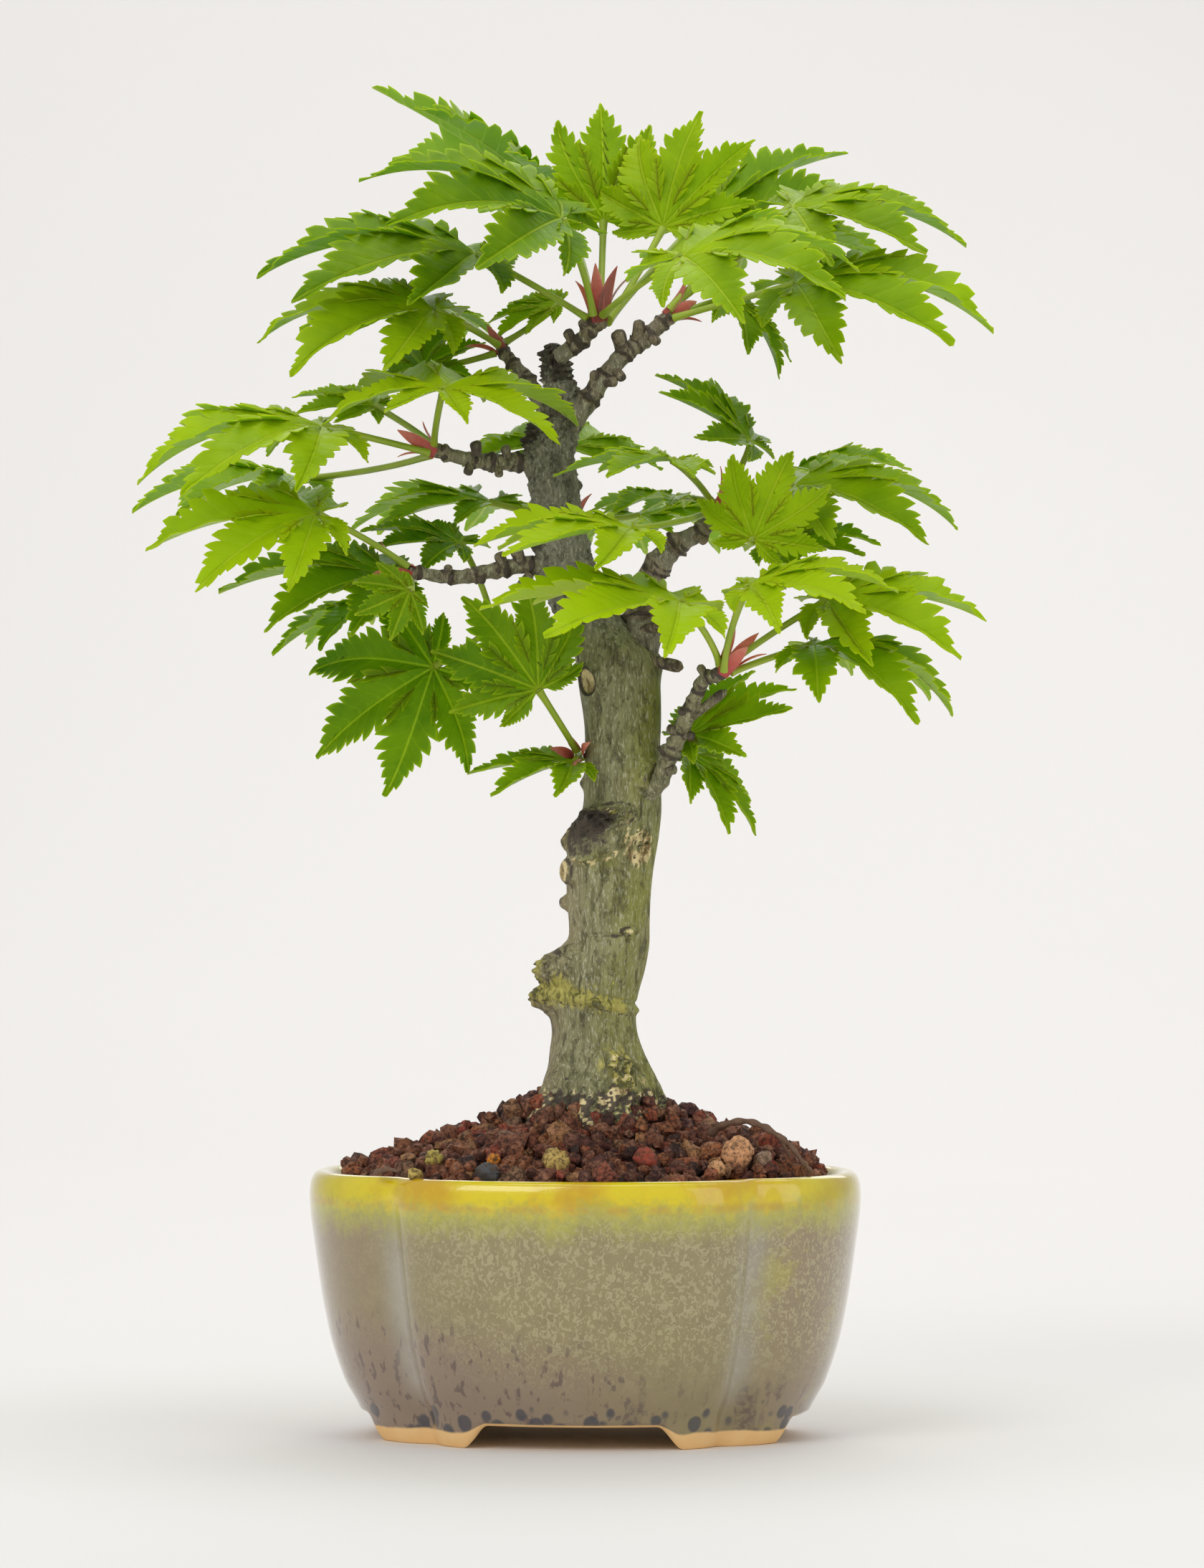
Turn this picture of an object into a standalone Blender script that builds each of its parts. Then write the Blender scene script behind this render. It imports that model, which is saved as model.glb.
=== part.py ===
"""A maple bonsai in a glazed, four-lobed pot: pot, drain screens and clips, soil mound, trunk, branches, leaves.

The script works in metres with +Z up. The origin is on the surface the pot stands on, below the middle of the
whole tree's box. The tables give places in millimetres from the pot's centre at the foot of the pot.
"""

import math

import bmesh
import bpy
import numpy as np
from mathutils import Matrix, Vector

MM = 0.001

# Driving dimensions of the pot, in millimetres.
POT_WIDTH = 120.0
POT_DEPTH = 92.0
POT_HEIGHT = 57.5
POT_TURN = math.radians(-4.5)
LOBE_CORNER_X = 38.0
LOBE_CORNER_Y = 30.0
FOOT_HEIGHT = 5.0
FLOOR_TOP = 10.0
WALL_SHARE = 0.075
DRAIN_RADIUS = 7.0
DRAIN_SPACING = 44.0

# Where the pot's centre stands in the whole object's frame.
POT_CENTRE = Vector((5.2, -1.8, 0.0))

# Fits and thin parts.
GAP = 0.35
BLADE_THICKNESS = 0.5
PETIOLE_WIDTH = 1.4

# The leaf: five main lobes, their headings from the middle one in degrees and their shares of its length.
LOBE_HEADINGS = (-78.0, -39.0, 0.0, 39.0, 78.0)
LOBE_SHARES = (0.72, 0.93, 1.0, 0.93, 0.72)
LOBE_HALF_WIDTH = 0.14
LOBE_WIDEST = 0.55
SINUS_SHARE = 0.34
FOLD_SLOPE = 0.5
STALK_SPACING = 2.1

collection = None
cutters = None
pot_centre_empty = None


def clear_scene():
    """Removes whatever the scene holds, so that the model stands alone."""
    for obj in list(bpy.data.objects):
        bpy.data.objects.remove(obj, do_unlink=True)


def new_collection(name):
    made = bpy.data.collections.new(name)
    bpy.context.scene.collection.children.link(made)
    return made


def material(name, colour, roughness, metallic=0.0):
    """A Principled material with one colour."""
    made = bpy.data.materials.get(name) or bpy.data.materials.new(name)
    made.use_nodes = True
    shader = made.node_tree.nodes["Principled BSDF"]
    shader.inputs["Base Color"].default_value = (*colour, 1.0)
    shader.inputs["Roughness"].default_value = roughness
    shader.inputs["Metallic"].default_value = metallic
    made.diffuse_color = (*colour, 1.0)
    return made


def place(obj, finish=None):
    """Puts a piece in the object's collection, measured from the pot's centre."""
    collection.objects.link(obj)
    obj.parent = pot_centre_empty
    if finish is not None:
        obj.data.materials.append(finish)
    return obj


def place_cutter(obj):
    cutters.objects.link(obj)
    obj.parent = pot_centre_empty
    obj.hide_render = True
    obj.display_type = "WIRE"
    return obj


def mesh_object(name, bm):
    """Turns millimetres into metres and makes the object."""
    bmesh.ops.scale(bm, vec=(MM, MM, MM), verts=bm.verts)
    mesh = bpy.data.meshes.new(name)
    bm.to_mesh(mesh)
    bm.free()
    return bpy.data.objects.new(name, mesh)


def loft(name, rings):
    """A closed skin over rings of equal point count, with a flat cap on the first and the last ring."""
    bm = bmesh.new()
    loops = [[bm.verts.new(point) for point in ring] for ring in rings]
    count = len(loops[0])
    for lower, upper in zip(loops, loops[1:]):
        for i in range(count):
            j = (i + 1) % count
            bm.faces.new((lower[i], lower[j], upper[j], upper[i]))
    bm.faces.new(reversed(loops[0]))
    bm.faces.new(loops[-1])
    bmesh.ops.recalc_face_normals(bm, faces=bm.faces)
    return mesh_object(name, bm)


def tube(name, points, radii, sides=8):
    """A round branch or wire: a curve with a bevel, one radius for each of its points."""
    curve = bpy.data.curves.new(name, "CURVE")
    curve.dimensions = "3D"
    curve.bevel_mode = "ROUND"
    curve.bevel_depth = MM
    curve.bevel_resolution = max(0, sides // 2 - 2)
    curve.use_fill_caps = True
    spline = curve.splines.new("POLY")
    spline.points.add(len(points) - 1)
    for point, place_mm, radius in zip(spline.points, points, radii):
        point.co = (place_mm[0] * MM, place_mm[1] * MM, place_mm[2] * MM, 1.0)
        point.radius = radius
    return bpy.data.objects.new(name, curve)


def cut(obj, cutter):
    modifier = obj.modifiers.new("cut_" + cutter.name, "BOOLEAN")
    modifier.operation = "DIFFERENCE"
    modifier.object = cutter
    modifier.solver = "EXACT"


def turned(point):
    """A point of the pot's own plan, turned as the pot stands."""
    return Matrix.Rotation(POT_TURN, 3, "Z") @ Vector(point)


# ---------------------------------------------------------------- pot

def lobe(from_corner, across, bulge, count):
    """count points from a corner on, along half an ellipse that spans across and stands out by bulge."""
    outward = Vector((across.y, -across.x)).normalized() * bulge
    middle = from_corner + across / 2
    angles = [math.pi * i / count for i in range(count)]
    return [middle - across / 2 * math.cos(angle) + outward * math.sin(angle) for angle in angles]


def pot_plan():
    """The rim's outline: four lobes that meet in a crease at each corner, anticlockwise from the front left."""
    x, y = LOBE_CORNER_X, LOBE_CORNER_Y
    front = POT_DEPTH / 2 - y
    side = POT_WIDTH / 2 - x
    plan = lobe(Vector((-x, -y)), Vector((2 * x, 0.0)), front, 14)
    plan += lobe(Vector((x, -y)), Vector((0.0, 2 * y)), side, 10)
    plan += lobe(Vector((x, y)), Vector((-2 * x, 0.0)), front, 14)
    plan += lobe(Vector((-x, y)), Vector((0.0, -2 * y)), side, 10)
    return plan


def plan_ring(share, height):
    """The pot's plan at a share of its full size, at a height."""
    return [turned((p.x * share, p.y * share, height)) for p in pot_plan()]


# Share of the rim's plan against height, up the outside from the foot.
POT_OUTSIDE = (
    (0.775, 0.0), (0.80, 3.0), (0.82, 7.0), (0.885, 14.5), (0.925, 22.0),
    (0.955, 31.0), (0.985, 43.0), (1.0, 51.0), (0.99, 55.3),
)


def outside_share(height):
    """How wide the pot is at a height, as a share of its rim."""
    heights = [z for _, z in POT_OUTSIDE]
    shares = [s for s, _ in POT_OUTSIDE]
    return float(np.interp(height, heights, shares))


def inside_share(height):
    return outside_share(height) - WALL_SHARE


def make_pot(finish):
    """A slip-thick shell on a foot ring, with four gaps cut in the ring and two drain holes in the floor."""
    foot_inner = POT_OUTSIDE[0][0] - 0.16
    rings = [plan_ring(foot_inner, FOOT_HEIGHT + 0.6), plan_ring(foot_inner, 0.0)]
    rings += [plan_ring(share, height) for share, height in POT_OUTSIDE]
    rim = 1.0 - WALL_SHARE / 2
    rings += [plan_ring(rim + 0.012, POT_HEIGHT), plan_ring(rim - 0.012, POT_HEIGHT)]
    for height in (POT_HEIGHT - 2.2, 46.0, 30.0, 17.0):
        rings.append(plan_ring(inside_share(height), height))
    rings.append(plan_ring(inside_share(FLOOR_TOP) - 0.03, FLOOR_TOP))
    pot = place(loft("pot", rings), finish)
    for name, along_x, top_half, foot_half in (
        ("front_foot_gap", False, 18.5, 24.0),
        ("side_foot_gap", True, 12.0, 16.0),
    ):
        cut(pot, foot_gap(name, along_x, top_half, foot_half))
    for side in (-1, 1):
        bm = bmesh.new()
        bmesh.ops.create_cone(
            bm, cap_ends=True, segments=20, radius1=DRAIN_RADIUS, radius2=DRAIN_RADIUS, depth=14.0
        )
        bmesh.ops.translate(bm, verts=bm.verts, vec=drain_centre(side, FOOT_HEIGHT + 2.5))
        cut(pot, place_cutter(mesh_object(f"drain_cutter_{side + 2}", bm)))
    return pot


def foot_gap(name, along_x, top_half, foot_half):
    """A long block under the pot, wider at the ground, that leaves a foot at each corner."""
    bm = bmesh.new()
    bmesh.ops.create_cube(bm, size=1.0)
    for vert in bm.verts:
        half = top_half if vert.co.z > 0 else foot_half + 1.0
        across = math.copysign(half, vert.co.x)
        lengthwise = math.copysign(POT_WIDTH, vert.co.y)
        height = FOOT_HEIGHT if vert.co.z > 0 else -1.0
        vert.co = turned((lengthwise, -across, height) if along_x else (across, lengthwise, height))
    return place_cutter(mesh_object(name, bm))


def drain_centre(side, height):
    return turned((side * DRAIN_SPACING / 2, 0.0, height))


# ---------------------------------------------------------------- drain screens and their clips

SCREEN_CELL = 2.0
SCREEN_BARS = 9
SCREEN_THICKNESS = 0.9
CLIP_RADIUS = 0.5


def make_screen(name, side, finish):
    """A square of plastic mesh over a drain hole: a grid of cells with every second one open."""
    bm = bmesh.new()
    half = SCREEN_CELL * SCREEN_BARS / 2
    bmesh.ops.create_grid(bm, x_segments=SCREEN_BARS, y_segments=SCREEN_BARS, size=half)
    open_cells = []
    for face in bm.faces:
        centre = face.calc_center_median()
        column = int((centre.x + half) // SCREEN_CELL)
        row = int((centre.y + half) // SCREEN_CELL)
        if column % 2 and row % 2:
            open_cells.append(face)
    bmesh.ops.delete(bm, geom=open_cells, context="FACES")
    bmesh.ops.rotate(bm, verts=bm.verts, matrix=Matrix.Rotation(POT_TURN, 3, "Z"))
    bmesh.ops.translate(bm, verts=bm.verts, vec=drain_centre(side, FLOOR_TOP + GAP))
    screen = place(mesh_object(name, bm), finish)
    skin = screen.modifiers.new("thickness", "SOLIDIFY")
    skin.thickness = SCREEN_THICKNESS * MM
    skin.offset = 1.0
    return screen


def make_clip(name, side, finish):
    """A bent wire that bridges the screen, drops through two of its cells and the hole, and hooks under the pot."""
    reach = SCREEN_CELL
    top = FLOOR_TOP + GAP + SCREEN_THICKNESS + GAP + CLIP_RADIUS
    under = FOOT_HEIGHT + 0.6 - GAP - CLIP_RADIUS
    hook = DRAIN_RADIUS + 3.0
    outline = [(-hook, under), (-reach - 0.6, under), (-reach, under + 0.6), (-reach, top - 0.5)]
    outline += [(-reach + 0.5, top)]
    outline += [(-x, z) for x, z in reversed(outline)]
    points = []
    for x, z in outline:
        points.append(turned((side * DRAIN_SPACING / 2 + x, SCREEN_CELL, z)))
    return place(tube(name, points, [CLIP_RADIUS] * len(points), sides=6), finish)


# ---------------------------------------------------------------- trunk

# Height of each station, then the bark's left and right edges there, from the pot's centre.
TRUNK_STATIONS = (
    (50.0, -3.0, 9.0), (60.0, -9.0, 15.0), (67.0, -12.5, 19.0), (71.4, -10.6, 17.4),
    (76.4, -9.0, 15.2), (81.4, -7.4, 13.2), (87.0, -6.7, 11.4), (92.4, -8.4, 11.0),
    (96.4, -8.0, 11.7), (101.4, -5.9, 13.0), (107.0, -3.6, 14.2), (118.4, -3.7, 14.2),
    (124.0, -4.4, 14.9), (129.4, -4.8, 15.8), (135.4, -0.6, 16.7), (141.0, 0.1, 16.8),
    (150.0, 0.0, 16.4), (161.4, -1.2, 16.5), (167.0, -2.0, 16.7), (170.6, -2.7, 16.2),
    (171.6, -2.9, 8.8), (176.4, -5.4, 6.6), (181.4, -8.0, 5.0), (188.0, -9.7, 2.8),
    (201.4, -11.0, -1.0), (208.0, -12.2, -1.6), (213.0, -13.0, -2.2), (218.0, -9.5, -1.2),
    (224.0, -8.4, -2.0), (230.0, -9.6, -3.6), (236.5, -9.2, -4.4),
)
TRUNK_SIDES = 14
ROOT_COUNT = 5
ROOT_TOP = 84.0


def trunk_ring(height, left, right, clearance=0.0):
    """One section of the trunk: round, with ridges that swell into surface roots near the soil."""
    radius = (right - left) / 2 + clearance
    flare = max(0.0, min(1.0, (ROOT_TOP - height) / 15.0)) * max(0.0, min(1.0, (height - 48.0) / 12.0))
    ring = []
    for i in range(TRUNK_SIDES):
        angle = 2 * math.pi * i / TRUNK_SIDES
        ridge = 1.0 + 0.10 * flare * math.cos(ROOT_COUNT * angle + 0.6)
        ring.append(
            Vector(
                (
                    (left + right) / 2 + radius * ridge * math.cos(angle),
                    radius * ridge * math.sin(angle),
                    height,
                )
            )
        )
    return ring


def trunk_loft(name, stations, clearance=0.0):
    return loft(name, [trunk_ring(*station, clearance) for station in stations])


def make_trunk(finish):
    return place(trunk_loft("trunk", TRUNK_STATIONS), finish)


# ---------------------------------------------------------------- soil

SOIL_EDGE = 56.3
SOIL_PEAK = 23.0
SOIL_AXIS_X = 3.5
SOIL_SHOULDER = 4.0


def soil_height(x, y):
    """The mound: highest at the trunk, down to the rim, with a shoulder over the buried root on the right."""
    edge_x = (POT_WIDTH / 2 * inside_share(SOIL_EDGE)) + (-SOIL_AXIS_X if x > SOIL_AXIS_X else SOIL_AXIS_X)
    edge_y = POT_DEPTH / 2 * inside_share(SOIL_EDGE)
    out = min(1.0, math.hypot((x - SOIL_AXIS_X) / edge_x, y / edge_y))
    shoulder = SOIL_SHOULDER * math.exp(-(((x - 42.0) / 9.0) ** 2) - (y / 16.0) ** 2)
    return SOIL_EDGE + SOIL_PEAK * (1.0 - out) ** 1.35 + shoulder * (1.0 - out) ** 0.25


def make_soil(finish):
    """Fills the pot up to the mound, with room left for the root ball, the screens and the clips."""
    inset = GAP / (POT_DEPTH / 2) * 1.6
    rings = [plan_ring(inside_share(FLOOR_TOP) - 0.03 - inset, FLOOR_TOP + GAP)]
    for height in (17.0, 30.0, 46.0, SOIL_EDGE - 1.0):
        rings.append(plan_ring(inside_share(height) - inset, height))
    for share in (0.93, 0.8, 0.66, 0.5, 0.34, 0.17):
        ring = []
        for p in pot_plan():
            flat = turned((p.x, p.y, 0.0)) * inside_share(SOIL_EDGE) * share
            x = flat.x + SOIL_AXIS_X * (1.0 - share)
            ring.append(Vector((x, flat.y, soil_height(x, flat.y))))
        rings.append(ring)
    soil = place(loft("soil", rings), finish)
    buried = [station for station in TRUNK_STATIONS if station[0] < ROOT_TOP + 12.0]
    lowest, left, right = buried[0]
    buried[0] = (lowest - GAP, left, right)
    cut(soil, place_cutter(trunk_loft("root_room", buried, clearance=GAP)))
    for side in (-1, 1):
        bm = bmesh.new()
        bmesh.ops.create_cube(bm, size=1.0)
        across = SCREEN_CELL * SCREEN_BARS + 2 * GAP
        top = FLOOR_TOP + 2 * GAP + SCREEN_THICKNESS + 2 * CLIP_RADIUS + GAP
        bmesh.ops.scale(bm, vec=(across, across, 2 * top - 2 * FLOOR_TOP), verts=bm.verts)
        bmesh.ops.rotate(bm, verts=bm.verts, matrix=Matrix.Rotation(POT_TURN, 3, "Z"))
        bmesh.ops.translate(bm, verts=bm.verts, vec=drain_centre(side, FLOOR_TOP))
        cut(soil, place_cutter(mesh_object(f"screen_room_{side + 2}", bm)))
    return soil


# ---------------------------------------------------------------- branches

# Points along each branch from where it leaves the wood it grows on, then its radius there and at its tip.
BRANCHES = {
    "lower_right_branch": (
        ((16.2, -8.2, 141.8), (18.0, -10.5, 147.0), (20.3, -13.5, 151.8), (22.3, -16.5, 156.2),
         (24.0, -19.0, 160.5), (25.6, -21.5, 163.4), (28.4, -23.8, 164.6)), 2.3, 1.3),
    "second_leader": (
        ((12.6, 0.5, 172.6), (12.6, 2.0, 178.0), (13.2, 2.5, 183.0), (15.6, 1.0, 188.5),
         (20.0, -1.0, 193.0), (25.0, -2.5, 196.0), (28.0, -3.0, 198.5)), 3.3, 1.3),
    "lower_left_branch": (
        ((-10.8, -1.5, 188.2), (-14.0, -2.0, 188.4), (-20.0, -3.5, 187.4), (-25.0, -5.0, 186.2),
         (-30.0, -6.5, 186.0), (-36.4, -8.0, 186.4)), 2.0, 1.2),
    "rear_left_twig": (((-6.8, 6.2, 172.0), (-10.5, 6.2, 172.4), (-18.6, 4.6, 174.6)), 1.7, 1.1),
    "middle_left_branch": (
        ((-14.4, -1.0, 211.0), (-19.0, -2.5, 210.9), (-25.0, -4.0, 211.4), (-31.4, -5.0, 212.6)), 2.2, 1.3),
    "rear_branch": (
        ((-3.8, 7.6, 191.0), (-3.8, 13.0, 194.0), (-3.4, 21.0, 197.0), (-3.0, 28.6, 199.2)), 2.4, 1.2),
    "upper_left_twig": (((-10.6, 3.4, 226.0), (-13.4, 5.4, 230.0), (-17.2, 7.6, 234.4)), 1.9, 1.2),
    "upper_right_branch": (
        ((-0.6, -2.4, 222.4), (2.4, -2.6, 227.0), (5.4, -2.4, 230.8), (9.2, -2.0, 235.0),
         (12.5, -1.0, 237.2), (16.6, 0.0, 240.4)), 2.1, 1.3),
    "top_twig": (((-2.9, -2.6, 234.8), (-1.0, -4.0, 236.6), (2.0, -5.8, 239.2)), 1.7, 1.2),
}


def make_branches(finish):
    for name, (points, first, last) in BRANCHES.items():
        steps = len(points) - 1
        radii = [first + (last - first) * i / steps for i in range(len(points))]
        place(tube(name, points, radii), finish)


# ---------------------------------------------------------------- leaves

# The point each shoot ends at, then its leaves. A leaf has the place of its palm, where the lobes meet, the
# middle lobe's heading and rise, the blade's roll, the middle lobe's length, how far the lobes arch over, and
# how wide they fan. Angles are in degrees.
LEAVES = {
    "crown": ((3, -7, 241.5), (
        (-6, 45, 270.5, 180, 39, 8, 51, 14, 0.8),
        (-5, -18, 262.5, 182, 36, -22, 49, 42, 1.0),
        (-24, 2, 256.5, 182, 16, -14, 51, 36, 1.0),
        (4, 16, 265, 90, 80, 0, 29, 8, 0.8),
        (17, 4, 262.5, 50, 72, 16, 30, 10, 0.85),
        (24.5, 34, 265.5, 20, 36, 14, 42, 12, 0.95),
        (20.5, -47, 252, 8, 26, 16, 45, 52, 1.1),
    )),
    "upper_right": ((18.5, 0, 243), (
        (45, 0, 266.5, -3, 8, 20, 41, 32, 1.0),
        (45.5, -10, 249, -6, 12, 18, 48, 45, 1.0),
        (32.5, 13, 247.5, -25, -40, 0, 22, 25, 1.0),
        (38.5, 26, 260.5, 30, 20, 0, 36, 50, 1.0),
    )),
    "upper_left": ((-18.5, 8.5, 236.5), (
        (-33, -4, 244, 184, 14, -20, 44, 45, 1.0),
        (-35.5, 12, 232.5, 60, 50, 0, 18, 30, 1.2),
        (-6, 14, 246.5, 168, -4, -30, 18, 20, 0.8),
        (-32, 44, 247.5, 150, 20, 0, 36, 50, 1.0),
    )),
    "middle_left": ((-33, -5.5, 213.5), (
        (-56.5, -14, 218, 193, 8, -12, 46, 46, 1.0),
        (-30, -26, 225.5, 75, 18, 6, 40, 38, 1.25),
        (-46.5, 20, 224.5, 168, 20, -20, 20, 20, 1.0),
        (-63.5, 32, 209, 184, 10, -5, 40, 40, 1.0),
    )),
    "lower_left": ((-38, -8.5, 187), (
        (-57.5, -20, 199, 187, 4, -25, 39, 34, 1.0),
        (-42, 0, 186.5, 183, 12, -20, 39, 36, 1.0),
        (-43, 37, 182.5, 188, -8, 0, 31, 35, 1.0),
        (-37.5, -22, 182.5, 215, -20, -60, 14, 20, 1.0),
    )),
    "rear_left": ((-20.5, 4.5, 175.5), (
        (-33, 2, 166.5, 180, -30, -68, 34, 20, 1.1),
        (-27.5, 13, 194, 168, 20, -15, 24, 25, 1.0),
    )),
    "trunk_left": ((-1.8, -1, 147.5), (
        (-10, -16.5, 161.5, 180, 55, -88, 28, 16, 0.85),
        (-2.5, -3, 146, 183, 4, -14, 25, 24, 1.05),
    )),
    "lower_right": ((30, -25, 165.8), (
        (20, -44, 179.5, 184, 12, -12, 43, 24, 1.1),
        (35, -40, 183, -5, 20, 12, 33, 38, 1.0),
        (52, -22, 180.5, -5, 12, 20, 38, 36, 1.0),
        (49, -20, 171, -12, 3, 10, 37, 55, 1.0),
    )),
    "second": ((29, -3.2, 200.5), (
        (36, 4, 216, 170, 47, -10, 28, 14, 1.0),
        (18.5, -20, 210.5, 183, 5, -6, 27, 16, 1.3),
        (36, -24, 193.5, 30, 66, 50, 22, 8, 1.0),
        (45.5, -3, 206, -5, 12, 18, 40, 46, 1.0),
        (45, 38, 210, 12, 22, -8, 31, 30, 1.0),
        (40, 0, 193.5, 0, 18, 15, 26, 30, 1.0),
        (20, 8, 204, 190, 5, 0, 22, 30, 1.0),
        (10, -40, 195, 184, 8, -10, 36, 26, 1.0),
    )),
    "low_knot": ((21.5, -9.5, 152), (
        (22.5, -6, 152, 5, 35, 25, 27, 14, 0.9),
        (22.5, -1.5, 148, -2, -38, 20, 24, 18, 0.88),
    )),
    "rear": ((-3, 30.5, 200), (
        (-5, 38, 216.5, 95, 25, 0, 36, 50, 1.0),
        (12, 38, 201, 55, 15, 0, 36, 50, 1.0),
        (-21.5, 36, 204, 130, 15, 0, 40, 46, 1.0),
    )),
}


def leaf_axes(heading, rise, roll):
    """Unit vectors along the middle lobe, to its left, and up from the blade."""
    turn, climb, tip = map(math.radians, (heading, rise, roll))
    along = Vector((math.cos(climb) * math.cos(turn), math.cos(climb) * math.sin(turn), math.sin(climb)))
    level = Vector((-math.sin(turn), math.cos(turn), 0.0))
    side = level * math.cos(tip) + along.cross(level) * math.sin(tip)
    return along, side, along.cross(side)


def arched(distance, angle, headings, length, arch):
    """A point of the flat blade, bent down over a dome and lifted off its nearest midrib, which gives the fold."""
    bend = math.radians(arch) / length
    tilt = bend * distance
    off_midrib = min(abs(math.sin(angle - h)) if math.cos(angle - h) > 0 else 1.0 for h in headings)
    lift = FOLD_SLOPE * distance * off_midrib
    run = math.sin(tilt) / bend + lift * math.sin(tilt)
    rise = (math.cos(tilt) - 1.0) / bend + lift * math.cos(tilt)
    return Vector((run * math.cos(angle), run * math.sin(angle), rise))


def shoot_starts(tip, palms):
    """Where each leaf's stalk leaves the shoot: evenly round a ring at its tip, in the order that the palms lie."""
    tip = Vector(tip)
    ways = [(palm - tip).normalized() for palm in palms]
    axis = sum(ways, Vector()).normalized()
    across = axis.orthogonal().normalized()
    other = axis.cross(across)
    angles = [math.atan2(way.dot(other), way.dot(across)) for way in ways]
    order = sorted(range(len(palms)), key=lambda i: angles[i])
    count = len(palms)
    steps = [2 * math.pi * order.index(i) / count for i in range(count)]
    offset = math.atan2(
        sum(math.sin(a - s) for a, s in zip(angles, steps)), sum(math.cos(a - s) for a, s in zip(angles, steps))
    )
    ring = max(STALK_SPACING / 2, STALK_SPACING / 2 / math.sin(math.pi / count)) if count > 1 else 0.0
    return [tip + (across * math.cos(s + offset) + other * math.sin(s + offset)) * ring for s in steps]


def make_leaf(name, row, start, finish):
    """One leaf: five lobes that fan from the palm, each folded along its midrib, and the stalk behind them."""
    x, y, z, heading, rise, roll, length, arch, spread = row
    palm = Vector((x, y, z))
    along, side, up = leaf_axes(heading, rise, roll)
    headings = [math.radians(h) * spread for h in LOBE_HEADINGS]
    half_step = (headings[1] - headings[0]) / 2
    bm = bmesh.new()

    def vertex(distance, angle):
        p = arched(distance, angle, headings, length, arch)
        return bm.verts.new(palm + along * p.x + side * p.y + up * p.z)

    def lobe_side(angle, reach, tip, ribs, sinus, turn):
        """The faces of one half of a lobe. turn is 1 on its left half and -1 on its right."""
        widest = reach * LOBE_WIDEST
        half_width = reach * LOBE_HALF_WIDTH
        edge = vertex(math.hypot(widest, half_width), angle + turn * math.atan2(half_width, widest))
        for corners in ((ribs[0], ribs[1], edge, sinus), (ribs[1], tip, edge)):
            bm.faces.new(corners if turn > 0 else reversed(corners))

    centre = bm.verts.new(palm)
    hub = [
        bm.verts.new(palm - along * PETIOLE_WIDTH * 0.7 + side * PETIOLE_WIDTH * turn / 2) for turn in (-1, 1)
    ]
    reaches = [length * share for share in LOBE_SHARES]
    sinuses = [vertex(reaches[0] * 0.25, headings[0] - half_step * 0.9)]
    for i in range(len(headings) - 1):
        reach = min(reaches[i], reaches[i + 1]) * SINUS_SHARE
        sinuses.append(vertex(reach, headings[i] + half_step))
    sinuses.append(vertex(reaches[-1] * 0.25, headings[-1] + half_step * 0.9))
    for i, (angle, reach) in enumerate(zip(headings, reaches)):
        tip = vertex(reach, angle)
        ribs = [vertex(reach * SINUS_SHARE * 0.8, angle), vertex(reach * LOBE_WIDEST, angle)]
        bm.faces.new((centre, ribs[0], sinuses[i + 1]))
        bm.faces.new((centre, sinuses[i], ribs[0]))
        lobe_side(angle, reach, tip, ribs, sinuses[i + 1], 1)
        lobe_side(angle, reach, tip, ribs, sinuses[i], -1)
    bm.faces.new((centre, hub[0], sinuses[0]))
    bm.faces.new((centre, sinuses[-1], hub[1]))
    bm.faces.new((centre, hub[1], hub[0]))
    add_stalk(bm, hub, palm - along * PETIOLE_WIDTH * 0.7, start, along)
    leaf = place(mesh_object(name, bm), finish)
    skin = leaf.modifiers.new("thickness", "SOLIDIFY")
    skin.thickness = BLADE_THICKNESS * MM
    skin.offset = 0.0
    return leaf


def add_stalk(bm, hub, top, start, along):
    """The stalk: a flat strip from the palm to the shoot, bowed a little under the blade."""
    middle = (top + start) / 2 - along * 0.10 * (top - start).length
    edge = hub[1].co - hub[0].co
    last = hub
    steps = 4
    for i in range(1, steps + 1):
        t = i / steps
        centre = top * (1 - t) ** 2 + middle * 2 * t * (1 - t) + start * t * t
        way = ((middle - top) * (1 - t) + (start - middle) * t).normalized()
        across = (edge - way * edge.dot(way)).normalized() * PETIOLE_WIDTH / 2
        pair = [bm.verts.new(centre - across), bm.verts.new(centre + across)]
        bm.faces.new((last[0], last[1], pair[1], pair[0]))
        last = pair


def make_leaves(finish):
    for shoot, (tip, rows) in LEAVES.items():
        palms = [Vector(row[:3]) for row in rows]
        for number, (row, start) in enumerate(zip(rows, shoot_starts(tip, palms)), 1):
            make_leaf(f"leaf_{shoot}_{number}", row, start, finish)


def main():
    global collection, cutters, pot_centre_empty
    clear_scene()
    collection = new_collection("maple_bonsai")
    cutters = new_collection("cutters")
    pot_centre_empty = bpy.data.objects.new("pot_centre", None)
    pot_centre_empty.location = POT_CENTRE * MM
    collection.objects.link(pot_centre_empty)
    bark = material("bark", (0.21, 0.20, 0.15), 0.85)
    make_pot(material("glaze", (0.30, 0.29, 0.14), 0.2))
    for side, end in ((-1, "left"), (1, "right")):
        make_screen(f"drain_screen_{end}", side, material("black_plastic", (0.03, 0.03, 0.03), 0.6))
        make_clip(f"drain_clip_{end}", side, material("aluminium_wire", (0.7, 0.68, 0.62), 0.4, 1.0))
    make_soil(material("soil", (0.14, 0.06, 0.035), 0.95))
    make_trunk(bark)
    make_branches(bark)
    make_leaves(material("leaf", (0.32, 0.52, 0.05), 0.5))


main()
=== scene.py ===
import math

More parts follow.
